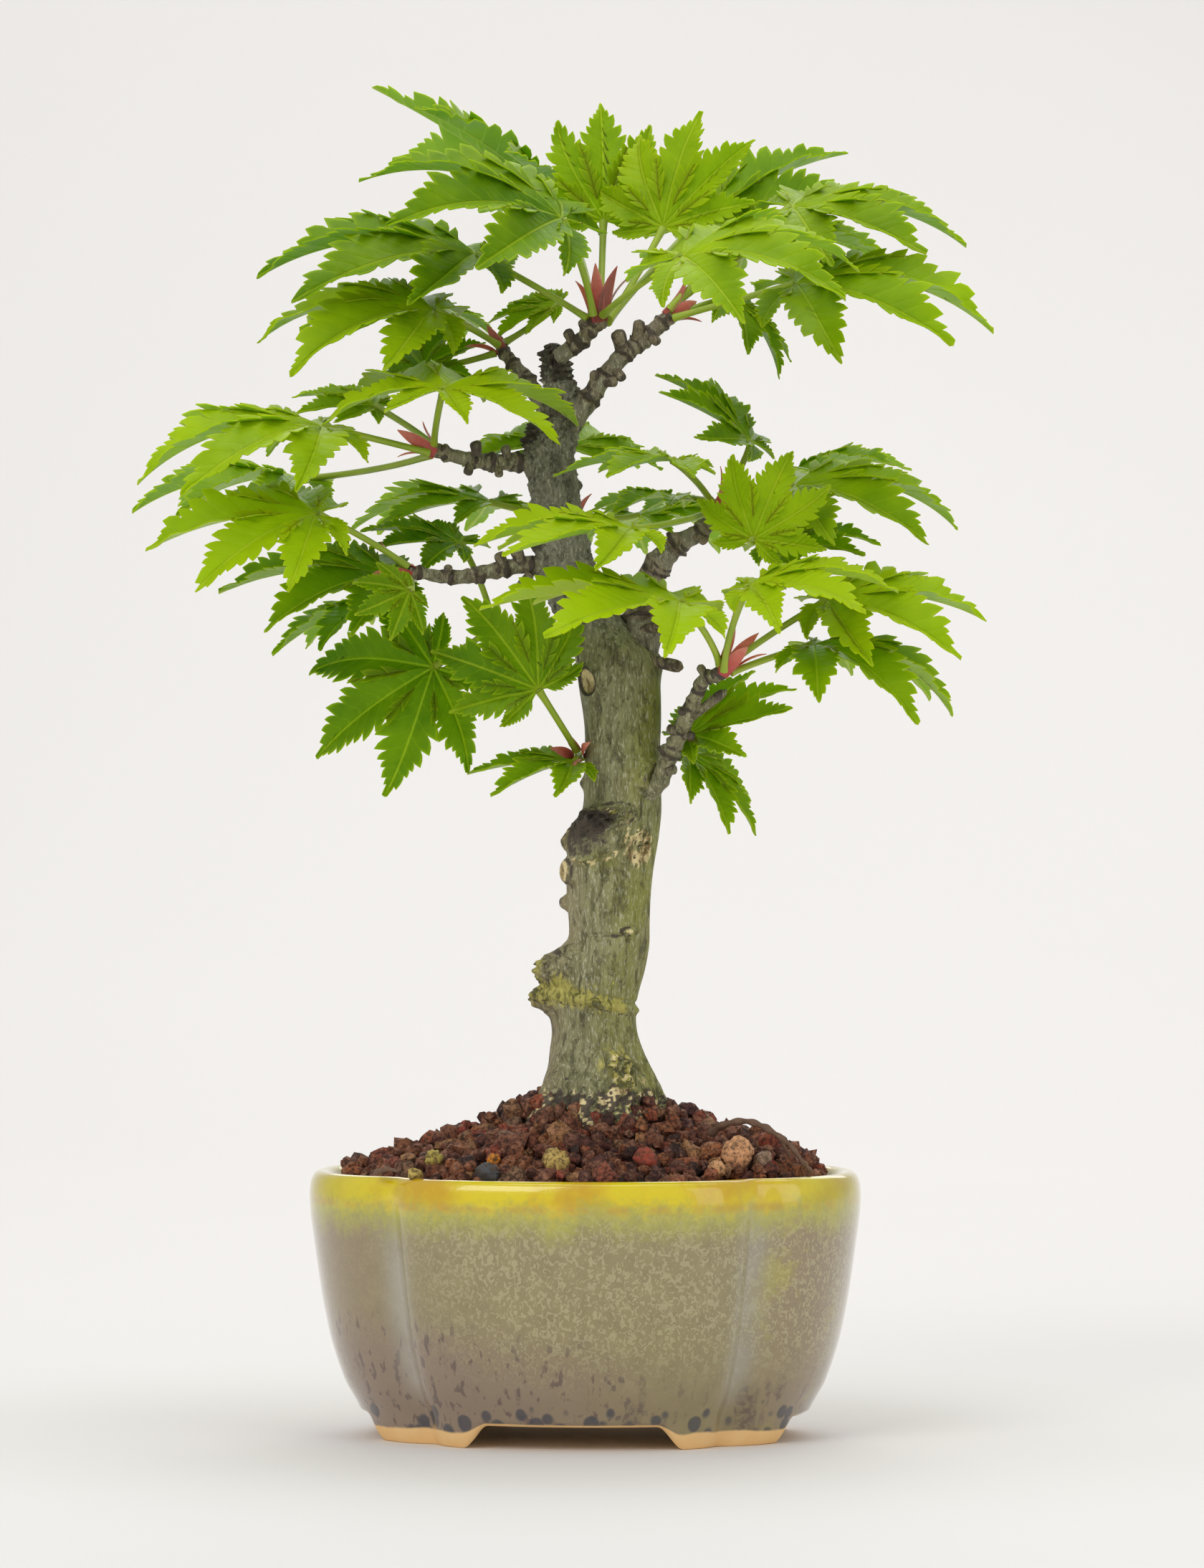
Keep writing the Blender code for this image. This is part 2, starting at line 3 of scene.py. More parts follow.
import bpy
import numpy as np
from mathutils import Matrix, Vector


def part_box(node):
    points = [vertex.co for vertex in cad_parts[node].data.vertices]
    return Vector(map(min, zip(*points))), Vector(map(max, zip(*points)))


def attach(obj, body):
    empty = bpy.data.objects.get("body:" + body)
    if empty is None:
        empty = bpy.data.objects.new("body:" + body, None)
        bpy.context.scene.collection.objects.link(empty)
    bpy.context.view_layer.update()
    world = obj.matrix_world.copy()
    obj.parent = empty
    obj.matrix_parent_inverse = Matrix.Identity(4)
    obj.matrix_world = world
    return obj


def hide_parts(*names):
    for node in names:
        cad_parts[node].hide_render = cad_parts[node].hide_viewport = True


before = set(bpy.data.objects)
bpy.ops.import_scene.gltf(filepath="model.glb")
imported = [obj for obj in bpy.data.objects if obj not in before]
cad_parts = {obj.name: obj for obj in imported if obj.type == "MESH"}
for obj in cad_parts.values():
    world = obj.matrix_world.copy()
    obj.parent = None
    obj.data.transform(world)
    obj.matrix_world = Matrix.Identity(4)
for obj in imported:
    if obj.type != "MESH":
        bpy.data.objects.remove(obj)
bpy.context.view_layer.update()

# The pot: slip-cast stoneware, four lobes that meet in soft creases, standing on a foot at each corner. A
# running glaze covers it inside and out, yellow where it breaks over the rim, and stops short of the bare clay
# feet. Two drain holes go through the floor. Sizes are in millimetres, from the middle of the pot's foot.
POT_WIDTH, POT_DEPTH, POT_TURN = 120.0, 92.0, math.radians(-4.5)
LOBE_CORNER = 38.0, 30.0
GAP_HEIGHT, GAP_FRONT, GAP_SIDE = 5.0, 23.5, 15.5
DRAIN_SPACING, DRAIN_RADIUS = 44.0, 7.0
AROUND = 480
SHARP_EDGE = math.radians(55)
# Share of the rim's plan and height, from the middle of the underside out, up the wall, over the rim and in.
POT_LINE = (
    (0.02, 5.6), (0.3, 5.6), (0.59, 5.6), (0.605, 5.2), (0.612, 3), (0.618, 0.5), (0.63, 0), (0.70, 0), (0.765, 0),
    (0.778, 0.35), (0.79, 1.5), (0.80, 3), (0.81, 5), (0.823, 7), (0.842, 9), (0.866, 11.5), (0.886, 14.5),
    (0.906, 18), (0.925, 22), (0.941, 26.5), (0.955, 31), (0.970, 37), (0.984, 43), (0.993, 47), (0.999, 50.5),
    (1, 53), (0.996, 55), (0.986, 56.5), (0.97, 57.3), (0.95, 57.5), (0.93, 57.1), (0.918, 56), (0.912, 54),
    (0.905, 50), (0.88, 30), (0.85, 17), (0.80, 10.2), (0.77, 10), (0.4, 10), (0.02, 10),
)
pot_low, pot_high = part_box("pot")
pot_foot = np.array([(pot_low.x + pot_high.x) / 2, (pot_low.y + pot_high.y) / 2, 0.0]) * 1000


def lobed_outline(rounding):
    """The rim's plan in even steps: a half ellipse from each corner to the next. Leaving out its short waves,
    by a bell curve as wide as the rounding, turns each corner into a soft crease."""
    x, y = LOBE_CORNER
    corners = np.array([(-x, -y), (x, -y), (x, y), (-x, y)])
    swing = np.linspace(0.0, np.pi, 200, endpoint=False)
    sides = []
    for corner, next_corner, bulge in zip(
        corners, np.roll(corners, -1, axis=0), (POT_DEPTH / 2 - y, POT_WIDTH / 2 - x) * 2
    ):
        across = next_corner - corner
        outward = np.array([across[1], -across[0]]) / np.hypot(*across) * bulge
        sides.append(corner + np.outer(0.5 - 0.5 * np.cos(swing), across) + np.outer(np.sin(swing), outward))
    line = np.concatenate([*sides, sides[0][:1]])
    walked = np.concatenate([[0.0], np.cumsum(np.hypot(*np.diff(line, axis=0).T))])
    even = np.linspace(0.0, walked[-1], AROUND, endpoint=False)
    waves = np.fft.fft(np.interp(even, walked, line[:, 0]) + 1j * np.interp(even, walked, line[:, 1]))
    waves *= np.exp(-0.5 * (2 * np.pi * np.fft.fftfreq(AROUND, walked[-1] / AROUND) * rounding) ** 2)
    smooth = np.fft.ifft(waves)
    return np.column_stack([smooth.real, smooth.imag])


def turned(points):
    """Points of the pot's own plan, turned as the pot stands."""
    c, s = math.cos(POT_TURN), math.sin(POT_TURN)
    return np.stack([points[..., 0] * c - points[..., 1] * s, points[..., 0] * s + points[..., 1] * c], axis=-1)


def finer(line, steps):
    """A smooth curve through a line's points: each span is a cubic whose ends follow the neighbouring points."""
    line = np.array(line, float)
    slope = np.gradient(line, axis=0)
    t = np.linspace(0.0, 1.0, steps, endpoint=False)[None, :, None]
    first, last = line[:-1, None], line[1:, None]
    leave, arrive = slope[:-1, None], slope[1:, None]
    curve = (
        first * (1 - t) ** 2 * (1 + 2 * t) + leave * t * (1 - t) ** 2
        + last * t**2 * (3 - 2 * t) - arrive * t**2 * (1 - t)
    )
    return np.concatenate([curve.reshape(-1, line.shape[1]), line[-1:]])


def ring_faces(rings, around):
    """Faces between rings of points that each go once round, and one face to close each end."""
    ids = np.arange(rings * around).reshape(rings, around)
    after = np.roll(ids, -1, axis=1)
    walls = np.stack([ids[:-1], after[:-1], after[1:], ids[1:]], axis=-1).reshape(-1, 4)
    return [walls, ids[:1, ::-1], ids[-1:]]


def swept(path, radii, reference, sides):
    """A round tube along a path: at each point a circle of its radius, square to the path, closed at both ends."""
    way = np.gradient(path, axis=0)
    way = way / np.linalg.norm(way, axis=1, keepdims=True)
    across = np.cross(way, reference)
    across = across / np.linalg.norm(across, axis=1, keepdims=True)
    other = np.cross(way, across)
    angle = np.linspace(0.0, 2 * np.pi, sides, endpoint=False)
    ring = across[:, None] * np.cos(angle)[:, None] + other[:, None] * np.sin(angle)[:, None]
    points = path[:, None] + ring * np.reshape(radii, (len(path), -1, 1))
    return points.reshape(-1, 3), ring_faces(len(path), sides)


def surface_object(name, points, groups, finishes, finish_of=None, **marks):
    """A smooth mesh of points and arrays of faces, with one finish for each array. Each mark is stored on the
    points for a material to read: one number for all, or a number or a vector for each."""
    mesh = bpy.data.meshes.new(name)
    mesh.from_pydata((points + pot_foot) * 0.001, [], [face for group in groups for face in group.tolist()])
    for finish in finishes:
        mesh.materials.append(finish)
    if finish_of:
        mesh.polygons.foreach_set("material_index", np.repeat(finish_of, [len(group) for group in groups]))
    mesh.shade_smooth()
    mesh.set_sharp_from_angle(angle=SHARP_EDGE)
    for label, values in marks.items():
        values = np.broadcast_to(np.float32(values), (len(points), *np.shape(values)[1:]))
        kind, field = ("FLOAT_VECTOR", "vector") if values.ndim > 1 else ("FLOAT", "value")
        mesh.attributes.new(label, kind, "POINT").data.foreach_set(field, values.ravel())
    made = bpy.data.objects.new(name, mesh)
    bpy.context.scene.collection.objects.link(made)
    return made


class Tint:
    """What one node of a material puts out: a colour or a value. Signs between two of them add Math nodes."""

    def __init__(self, tree, socket):
        self.tree, self.socket = tree, socket

    def math(self, operation, *values):
        """A Math node on the values."""
        return add_node(self.tree, "Math", dict(enumerate(values)), operation=operation)

    def __add__(self, other):
        return self.math("ADD", self, other)

    def __sub__(self, other):
        return self.math("SUBTRACT", self, other)

    def __rsub__(self, other):
        return self.math("SUBTRACT", other, self)

    def __mul__(self, other):
        return self.math("MULTIPLY", self, other)

    def __truediv__(self, other):
        return self.math("DIVIDE", self, other)

    def __abs__(self):
        return self.math("ABSOLUTE", self)

    def span(self, low, high, start=0.0, end=1.0):
        """Goes smoothly from start to end as this goes from low to high, and holds there outside."""
        return add_node(
            self.tree, "MapRange", {"Value": self, "From Min": low, "From Max": high, "To Min": start, "To Max": end},
            interpolation_type="SMOOTHSTEP")

    def mix(self, first, second):
        """Goes from the first colour to the second as this goes from 0 to 1."""
        return add_node(self.tree, "Mix", {0: self, 6: first, 7: second}, 2, data_type="RGBA")


def feed(socket, value):
    """Gives a socket a number, a colour, a vector or another node's output."""
    if isinstance(value, Tint):
        value.tree.links.new(value.socket, socket)
    else:
        socket.default_value = (*value, 1.0) if socket.type == "RGBA" else value


def add_node(tree, kind, inputs, out=0, **settings):
    """A shader node with its settings and inputs. What it puts out can go into further nodes."""
    node = tree.nodes.new("ShaderNode" + kind)
    for name, setting in settings.items():
        setattr(node, name, setting)
    for key, value in inputs.items():
        feed(node.inputs[key], value)
    return Tint(tree, node.outputs[out])


def mark(tree, name, out="Fac"):
    """A number, or the vector, that a piece stores on its points."""
    return add_node(tree, "Attribute", {}, out, attribute_name=name)


def parts(vector):
    """The three numbers of a vector."""
    split = add_node(vector.tree, "SeparateXYZ", {0: vector}).socket.node
    return [Tint(vector.tree, socket) for socket in split.outputs]


def place(tree, stretch=(1, 1, 1)):
    """Object coordinates, stretched along the axes."""
    return add_node(tree, "Mapping", {"Vector": add_node(tree, "TexCoord", {}, "Object"), "Scale": stretch})


def noise(tree, scale, detail=2, roughness=0.5, stretch=(1, 1, 1), twist=0):
    """Cloudy noise from 0 to 1, at a scale per metre."""
    return add_node(tree, "TexNoise", {"Vector": place(tree, stretch), "Scale": scale, "Detail": detail,
                                       "Roughness": roughness, "Distortion": twist})


def coated(colour, *coats):
    """A colour under coats of others, each as far as its share says."""
    for share, coat in coats:
        colour = share.mix(colour, coat)
    return colour


def new_material(name):
    """A material with a plain shader, and its nodes."""
    finish = bpy.data.materials.new(name)
    finish.use_nodes = True
    return finish, finish.node_tree


def dress(finish, looks, height=None, depth=0.0, strength=1.0):
    """Feeds a material's shader, and its normal from a height with a full depth in metres. A strength below 0
    turns the height over."""
    shader = finish.node_tree.nodes["Principled BSDF"]
    if height:
        looks["Normal"] = add_node(
            finish.node_tree, "Bump", {"Distance": depth, "Strength": abs(strength), "Height": height},
            invert=strength < 0)
    for label, value in looks.items():
        feed(shader.inputs[label], value)


crisp_plan, soft_plan = lobed_outline(1.6), lobed_outline(3.2)
pot_line = finer(POT_LINE, 3)
share, height = pot_line[:, 0], pot_line[:, 1]
softness = np.clip((height - 47.0) / 8.0, 0.0, 1.0)[:, None, None]
ring_plan = (crisp_plan * (1 - softness) + soft_plan * softness) * share[:, None, None]
on_front = np.abs(crisp_plan[:, 1]) / LOBE_CORNER[1] > np.abs(crisp_plan[:, 0]) / LOBE_CORNER[0]
into_gap = np.clip(np.where(
    on_front, (GAP_FRONT - np.abs(ring_plan[..., 0])) / 5.5, (GAP_SIDE - np.abs(ring_plan[..., 1])) / 4.0), 0.0, 1.0)
lifted = GAP_HEIGHT * into_gap**2 * (3 - 2 * into_gap) * (share > 0.55)[:, None]
low_part = np.clip(height / 6.0, 0.0, 1.0)[:, None]
ring_height = np.where(height[:, None] < 6.0, lifted + (6.0 - lifted) * low_part, height[:, None])
ring_height = np.where((height >= 5.2)[:, None] & (share < 0.61)[:, None], height[:, None], ring_height)
pot_points = np.concatenate([turned(ring_plan), ring_height[..., None]], axis=-1)
glaze_height = np.where(share < 0.766, np.where(height < 9.0, -3.0, height), height)
corner_gap = np.hypot(*(np.abs(crisp_plan) - LOBE_CORNER).T)

glaze, tree = new_material("running_glaze")
dip = mark(tree, "glaze_height")
to_right = parts(place(tree))[0]
clouds = noise(tree, 55, 4, 0.6)
drips = noise(tree, 140, 3, 0.6, (1, 1, 0.22))
worms = noise(tree, 950, 2, 0.5, (1, 1, 0.85), 1.2)
mottle = noise(tree, 240, 4, 0.65)
speck = noise(tree, 700, 3, 0.7)
drip_line = dip + ((drips - 0.5) * 7.0 + (speck - 0.5) * 7.0)
off_middle = abs(to_right - 0.003)
mauve = (to_right.span(-0.045, 0.035, 1, 0) + clouds) * dip.span(8, 42, 1, 0)
worm_zone = dip.span(9, 27) * (to_right + dip * 0.0006).span(-0.022, 0.010, 0.15, 1)
patches = (noise(tree, 75, 2, 0.5) + speck * 0.35).span(0.74, 0.90, 0, 0.45)
dashes = noise(tree, 620, 2, 0.5, (1, 1, 0.4)).span(0.57, 0.66, 0, 0.75)
spots = add_node(tree, "TexVoronoi", {"Scale": 260, "Randomness": 1, "Vector": place(tree, (1, 1, 0.75))}, "Distance")
clay_edge = dip + (clouds - 0.5) * 3.0
pot_colour = coated(
    mottle.mix((0.215, 0.176, 0.074), (0.385, 0.318, 0.142)),
    (off_middle.span(0.030, 0.052, 0, 0.6), (0.310, 0.222, 0.150)),
    (mauve.span(0.30, 1.15, 0, 0.9), (0.285, 0.202, 0.142)),
    (worms.span(0.51, 0.57, 0, 0.60) * worm_zone, (0.500, 0.440, 0.240)),
    (drips.span(0.56, 0.66, 0, 0.75) * dip.span(9, 26, 1, 0) * speck.span(0.40, 0.60, 0.2, 1), (0.105, 0.060, 0.052)),
    (dashes * mauve.span(0.36, 0.85), (0.115, 0.068, 0.058)),
    (patches * to_right.span(0.036, 0.046), (0.46, 0.42, 0.040)),
    # Painted highlight: the glaze turns pale down each crease, where the lamps' reflection runs.
    (mark(tree, "crease") * (dip.span(6, 16) * clouds.span(0.3, 0.7, 0.25, 0.75)), (0.470, 0.440, 0.375)),
    (drip_line.span(43, 52, 0, 0.9), mottle.mix((0.42, 0.42, 0.030), (0.56, 0.52, 0.075))),
    (drip_line.span(49, 54.5) * off_middle.span(0.036, 0.062, 1, 0.45),
     clouds.span(0.4, 0.65).mix((0.80, 0.64, 0.004), (0.66, 0.40, 0.004))),
    (abs(dip - 51.6).span(0, 1.6, 0.40, 0) * mottle.span(0.42, 0.6), (0.50, 0.24, 0.008)),
    ((spots - dip.span(6, 12, 0.52, 0)).span(-0.16, 0, 0.85, 0), (0.045, 0.046, 0.060)),
    (clay_edge.span(3.1, 3.7, 1, 0), mottle.mix((0.90, 0.54, 0.21), (0.97, 0.68, 0.33))),
)
dress(glaze, {"Base Color": pot_colour, "Roughness": clay_edge.span(3.1, 3.7, 0.8, 0.20),
              "Coat Weight": clay_edge.span(3.1, 3.7, 0, 0.9), "Coat Roughness": 0.06},
      worms * 0.25 + clouds, 0.0006, 0.35)

# The crease mark is 1 along each crease and falls off within a few millimetres: it carries the painted highlight.
pot = surface_object(
    "glazed_pot", pot_points.reshape(-1, 3), ring_faces(len(share), AROUND), [glaze],
    glaze_height=np.repeat(np.maximum.accumulate(glaze_height), AROUND),
    crease=np.tile(np.exp(-(((corner_gap - corner_gap.min()) / 3.4) ** 2)), len(share)))
for side in (-1, 1):
    middle = turned(np.array([side * DRAIN_SPACING / 2, 0.0]))
    hole_path = np.column_stack([np.tile(middle, (2, 1)), [2.0, 14.0]])
    hole = surface_object("drain_hole", *swept(hole_path, [DRAIN_RADIUS] * 2, (0.0, 1.0, 0.0), 40), [glaze])
    drill = pot.modifiers.new("drill", "BOOLEAN")
    drill.object = hole
    drill.solver = "EXACT"
    bpy.context.view_layer.update()
    drilled = bpy.data.meshes.new_from_object(pot.evaluated_get(bpy.context.evaluated_depsgraph_get()))
    pot.modifiers.clear()
    pot.data = drilled
    bpy.data.objects.remove(hole)
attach(pot, "root")
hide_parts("pot")

# Drain screens and clips: a square of moulded plastic mesh lies over each drain hole, held by a bent aluminium
# wire that goes down through the mesh and hooks under the pot. Their own solids have the right shape.
screen_plastic, tree = new_material("screen_plastic")
screen_colour = noise(tree, 900, 3).mix((0.012, 0.012, 0.013), (0.05, 0.048, 0.045))
dress(screen_plastic, {"Base Color": screen_colour, "Roughness": 0.5}, noise(tree, 2500), 0.0001, 0.4)
clip_metal, tree = new_material("clip_metal")
clip_colour = noise(tree, 700, 3).mix((0.55, 0.53, 0.49), (0.78, 0.76, 0.72))
dress(clip_metal, {"Base Color": clip_colour, "Roughness": noise(tree, 1500).span(0.3, 0.7, 0.3, 0.5),
                   "Metallic": 1.0})
for end in ("left", "right"):
    for node, finish in ((f"drain_screen_{end}", screen_plastic), (f"drain_clip_{end}", clip_metal)):
        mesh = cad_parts[node].data
        mesh.materials.clear()
        mesh.materials.append(finish)

# The soil: fired clay and lava grains of 3 to 5 mm, heaped up to the trunk over a shoulder of buried root on
# the right. A closed bed fills the pot, and loose grains lie on it in two layers.
SOIL_SHARE, SOIL_EDGE, SOIL_PEAK, SOIL_MIDDLE = 0.905, 56.3, 23.0, 3.5
SHOULDER_RISE, SHOULDER_AT, SHOULDER_WIDE, SHOULDER_DEEP = 4.0, 42.0, 9.0, 16.0
# The bed's tone is near the darkest grain colour: painted shade in the gaps between the grains.
BED_SHRINK, BED_SHADE_TONE = 0.985, 0.05
BED_LINE = np.array([(0.78, 13.4), (0.80, 14.0), (0.84, 18.0), (0.87, 31.0), (0.895, 47.0), (0.90, 55.3)])
GRAIN_STEP, GRAIN_AROUND, GRAIN_RINGS, GRAIN_ROUGH = 3.05, 8, 4, 0.165
LOWER_LAYER, UPPER_LAYER, UPPER_SHARE = -0.5, 1.3, 0.42
CLEAR_OF_TRUNK, CLEAR_OF_POT = 11.0, 1.7
GRAIN_TONES = (
    (0.0, (0.045, 0.024, 0.022)), (0.18, (0.210, 0.056, 0.030)), (0.36, (0.400, 0.135, 0.050)),
    (0.52, (0.120, 0.042, 0.046)), (0.68, (0.520, 0.190, 0.065)), (0.82, (0.460, 0.070, 0.038)),
    (0.92, (0.300, 0.175, 0.100)), (1.0, (0.640, 0.290, 0.100)),
)


def soil_height(x, y):
    """The mound's height: it falls from the trunk to the rim as (1 - out)^1.35, with a shoulder on the right."""
    edge_x = POT_WIDTH / 2 * SOIL_SHARE + np.where(x > SOIL_MIDDLE, -SOIL_MIDDLE, SOIL_MIDDLE)
    edge_y = POT_DEPTH / 2 * SOIL_SHARE
    out = np.minimum(1.0, np.hypot((x - SOIL_MIDDLE) / edge_x, y / edge_y))
    shoulder = SHOULDER_RISE * np.exp(-(((x - SHOULDER_AT) / SHOULDER_WIDE) ** 2) - (y / SHOULDER_DEEP) ** 2)
    return SOIL_EDGE + SOIL_PEAK * (1.0 - out) ** 1.35 + shoulder * (1.0 - out) ** 0.25


def effect_group(name, inputs, outputs):
    """An empty shader node group with named inputs, each a kind and a value, and named outputs."""
    tree = bpy.data.node_groups.new(name, "ShaderNodeTree")
    for label, (kind, value) in inputs.items():
        tree.interface.new_socket(label, in_out="INPUT", socket_type=kind).default_value = value
    for label, kind in outputs.items():
        tree.interface.new_socket(label, in_out="OUTPUT", socket_type=kind)
    given = {socket.name: Tint(tree, socket) for socket in tree.nodes.new("NodeGroupInput").outputs}
    return tree, given, tree.nodes.new("NodeGroupOutput").inputs


def placed_group(tree, group, inputs):
    """A group placed in a material, and what it puts out, by name."""
    node = add_node(tree, "Group", inputs, node_tree=group).socket.node
    return {socket.name: Tint(tree, socket) for socket in node.outputs}


# The pitting that grains and stones share: painted shade in the hollows, which darkens the colour there, and the same
# hollows as a height.
COLOUR, NUMBER = ("NodeSocketColor", (0.1, 0.05, 0.03, 1.0)), ("NodeSocketFloat", 0.5)
pitted, given, gives = effect_group(
    "pitted", {"Colour": COLOUR, "Pit Shade": COLOUR, "Scale": NUMBER, "Hollow To": NUMBER, "Hollow From": NUMBER},
    {"Colour": COLOUR[0], "Height": NUMBER[0]})
pits = noise(pitted, given["Scale"], 5, 0.7)
# Painted shade: the colour goes towards the dark hollow colour where the pits sink in.
feed(gives["Colour"], pits.span(given["Hollow From"], given["Hollow To"], 0.85, 0).mix(
    given["Colour"], given["Pit Shade"]))
feed(gives["Height"], pits)


def pitted_tones(tree, stops, pit_shade, scale, hollow_from, hollow_to):
    """Each stone's own colour, read along a row of tones, with painted shade in its pits."""
    ramp = add_node(tree, "ValToRGB", {"Fac": mark(tree, "tone")})
    row = ramp.socket.node.color_ramp.elements
    while len(row) < len(stops):
        row.new(0.5)
    for element, (position, colour) in zip(row, stops):
        element.position = position
        element.color = (*colour, 1.0)
    return placed_group(tree, pitted, {
        "Colour": ramp, "Pit Shade": pit_shade, "Scale": scale, "Hollow From": hollow_from, "Hollow To": hollow_to})


grit, tree = new_material("fired_clay_grains")
# The near-black pit colour here is painted shade.
skin = pitted_tones(tree, GRAIN_TONES, (0.022, 0.010, 0.008), 1100, 0.40, 0.60)
freckled = noise(tree, 420, 4, 0.7).span(0.48, 0.72, 0, 0.70).mix(skin["Colour"], (0.60, 0.29, 0.17))
dress(grit, {"Base Color": freckled, "Roughness": skin["Height"].span(0.3, 0.7, 0.95, 0.6)},
      skin["Height"], 0.0011, 0.9)

wall_plan = turned(crisp_plan * BED_LINE[:, :1, None] * BED_SHRINK)
bed_rings = np.concatenate([wall_plan, np.repeat(BED_LINE[:, 1:, None], AROUND, axis=1)], axis=-1)
top_shares = np.linspace(0.96, 0.02, 26)[:, None]
rim_line = turned(crisp_plan * SOIL_SHARE * BED_SHRINK)
top_x = rim_line[:, 0] * top_shares + SOIL_MIDDLE * (1 - top_shares)
top_y = rim_line[:, 1] * top_shares
top_rings = np.stack([top_x, top_y, soil_height(top_x, top_y) - 1.2], axis=-1)
bed_points = np.concatenate([bed_rings, top_rings])[:, ::4]
# The bed shows only between the grains, as painted shade.
bed = surface_object(
    "soil_bed", bed_points.reshape(-1, 3), ring_faces(len(bed_points), AROUND // 4), [grit], tone=BED_SHADE_TONE)
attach(bed, "root")
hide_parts("soil")


def rough_stones(centres, radii, around, rings, roughness, rng):
    """Stones, each a ball of rings whose points stand in and out by chance, squashed and turned its own way."""
    turn = np.linspace(0.0, 2 * np.pi, around, endpoint=False)
    rise = np.linspace(0.0, np.pi, rings + 2)[1:-1]
    ball = np.stack(
        [np.outer(np.sin(rise), np.cos(turn)), np.outer(np.sin(rise), np.sin(turn)),
         np.repeat(np.cos(rise)[:, None], around, axis=1)], axis=-1
    ).reshape(-1, 3)
    ball = np.concatenate([ball, [[0.0, 0.0, 1.0], [0.0, 0.0, -1.0]]])
    count = len(centres)
    waves = rng.normal(0.0, 1.0, (count, 4, 3)) * 2.4
    swell = np.sin(np.einsum("nkc,pc->npk", waves, ball) + rng.uniform(0, 6.3, (count, 1, 4))).sum(axis=2) * 0.06
    size = 1.0 + swell + rng.normal(0.0, roughness, (count, len(ball)))
    shape = ball * size[..., None] * rng.uniform(0.72, 1.15, (count, 1, 3))
    spin = rng.normal(0.0, 1.0, (count, 4))
    w, x, y, z = (spin / np.linalg.norm(spin, axis=1, keepdims=True)).T
    turn_to = np.stack(
        [1 - 2 * (y * y + z * z), 2 * (x * y - w * z), 2 * (x * z + w * y),
         2 * (x * y + w * z), 1 - 2 * (x * x + z * z), 2 * (y * z - w * x),
         2 * (x * z - w * y), 2 * (y * z + w * x), 1 - 2 * (x * x + y * y)], axis=1
    ).reshape(-1, 3, 3)
    points = np.einsum("nij,npj->npi", turn_to, shape) * radii[:, None, None] + centres[:, None]
    ids = np.arange(rings * around).reshape(rings, around)
    after = np.roll(ids, -1, axis=1)
    top, bottom = np.full(around, rings * around), np.full(around, rings * around + 1)
    walls = np.stack([ids[:-1], ids[1:], after[1:], after[:-1]], axis=-1).reshape(-1, 4)
    lids = np.concatenate(
        [np.column_stack([top, ids[0], after[0]]), np.column_stack([bottom, after[-1], ids[-1]])])
    step = np.arange(count)[:, None, None] * len(ball)
    return points.reshape(-1, 3), [(walls + step).reshape(-1, 4), (lids + step).reshape(-1, 3)]


soil_rng = np.random.default_rng(29)
cells = np.stack(np.meshgrid(np.arange(-60, 61, GRAIN_STEP), np.arange(-48, 49, GRAIN_STEP * 0.87)), axis=-1)
cells[1::2, :, 0] += GRAIN_STEP / 2
lower, upper = (
    cells.reshape(-1, 2) + soil_rng.uniform(-stray, stray, (cells.size // 2, 2)) for stray in (0.9, 1.5))
upper = upper[soil_rng.random(len(upper)) < UPPER_SHARE]
spots_xy = np.concatenate([lower, upper])
layer = np.repeat([LOWER_LAYER, UPPER_LAYER], [len(lower), len(upper)])
rim_angle = np.arctan2(rim_line[:, 1], rim_line[:, 0])
order = np.argsort(rim_angle)
reach = np.interp(
    np.arctan2(spots_xy[:, 1], spots_xy[:, 0]), rim_angle[order], np.hypot(*rim_line[order].T), period=2 * np.pi)
from_trunk = np.hypot(spots_xy[:, 0] - SOIL_MIDDLE, spots_xy[:, 1])
keep = (np.hypot(*spots_xy.T) < reach - CLEAR_OF_POT) & (from_trunk > CLEAR_OF_TRUNK)
spots_xy, layer = spots_xy[keep], layer[keep]
grain_count = len(spots_xy)
grain_radii = np.clip(soil_rng.lognormal(0.54, 0.32, grain_count), 0.9, 3.3)
grain_centres = np.column_stack(
    [spots_xy, soil_height(*spots_xy.T) + layer + soil_rng.uniform(-0.4, 0.4, grain_count)])
grain_points, grain_groups = rough_stones(
    grain_centres, grain_radii, GRAIN_AROUND, GRAIN_RINGS, GRAIN_ROUGH, soil_rng)
grain_tones = np.repeat(soil_rng.random(grain_count), len(grain_points) // grain_count)
grains = surface_object("soil_grains", grain_points, grain_groups, [grit], tone=grain_tones)
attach(grains, "root")

# Odd stones among the grains: pumice, river grit and slate. Each has its middle, its radius and its tone, from
# ochre and tan to near black.
ODD_STONES = np.array([
    (-6, -31, 60.9, 3.2, 0), (33, -25, 62.6, 3.6, 0.33), (-19.5, -29, 61.4, 1.7, 0.5), (-32, -24, 61.2, 1.8, 0.12),
    (-20.5, -34.5, 58.7, 2.7, 1), (13, -30.5, 61.6, 2.6, 0.66), (28, -31.5, 59.6, 2, 0.30),
    (-36, -31, 58.2, 1.9, 0.06), (38, -22, 60.4, 2.2, 0.85), (4, 33, 60, 2.7, 0.08), (-24, 29, 61, 2.3, 0.40),
    (30, 27, 61.5, 2.8, 0.9),
])
STONE_TONES = (
    (0.0, (0.72, 0.50, 0.14)), (0.14, (0.52, 0.42, 0.08)), (0.32, (0.86, 0.44, 0.22)), (0.50, (0.95, 0.34, 0.03)),
    (0.66, (0.46, 0.08, 0.045)), (0.85, (0.42, 0.27, 0.18)), (1.0, (0.09, 0.095, 0.11)),
)
STONE_AROUND, STONE_RINGS, STONE_ROUGH = 18, 11, 0.075
odd_stone, tree = new_material("odd_stones")
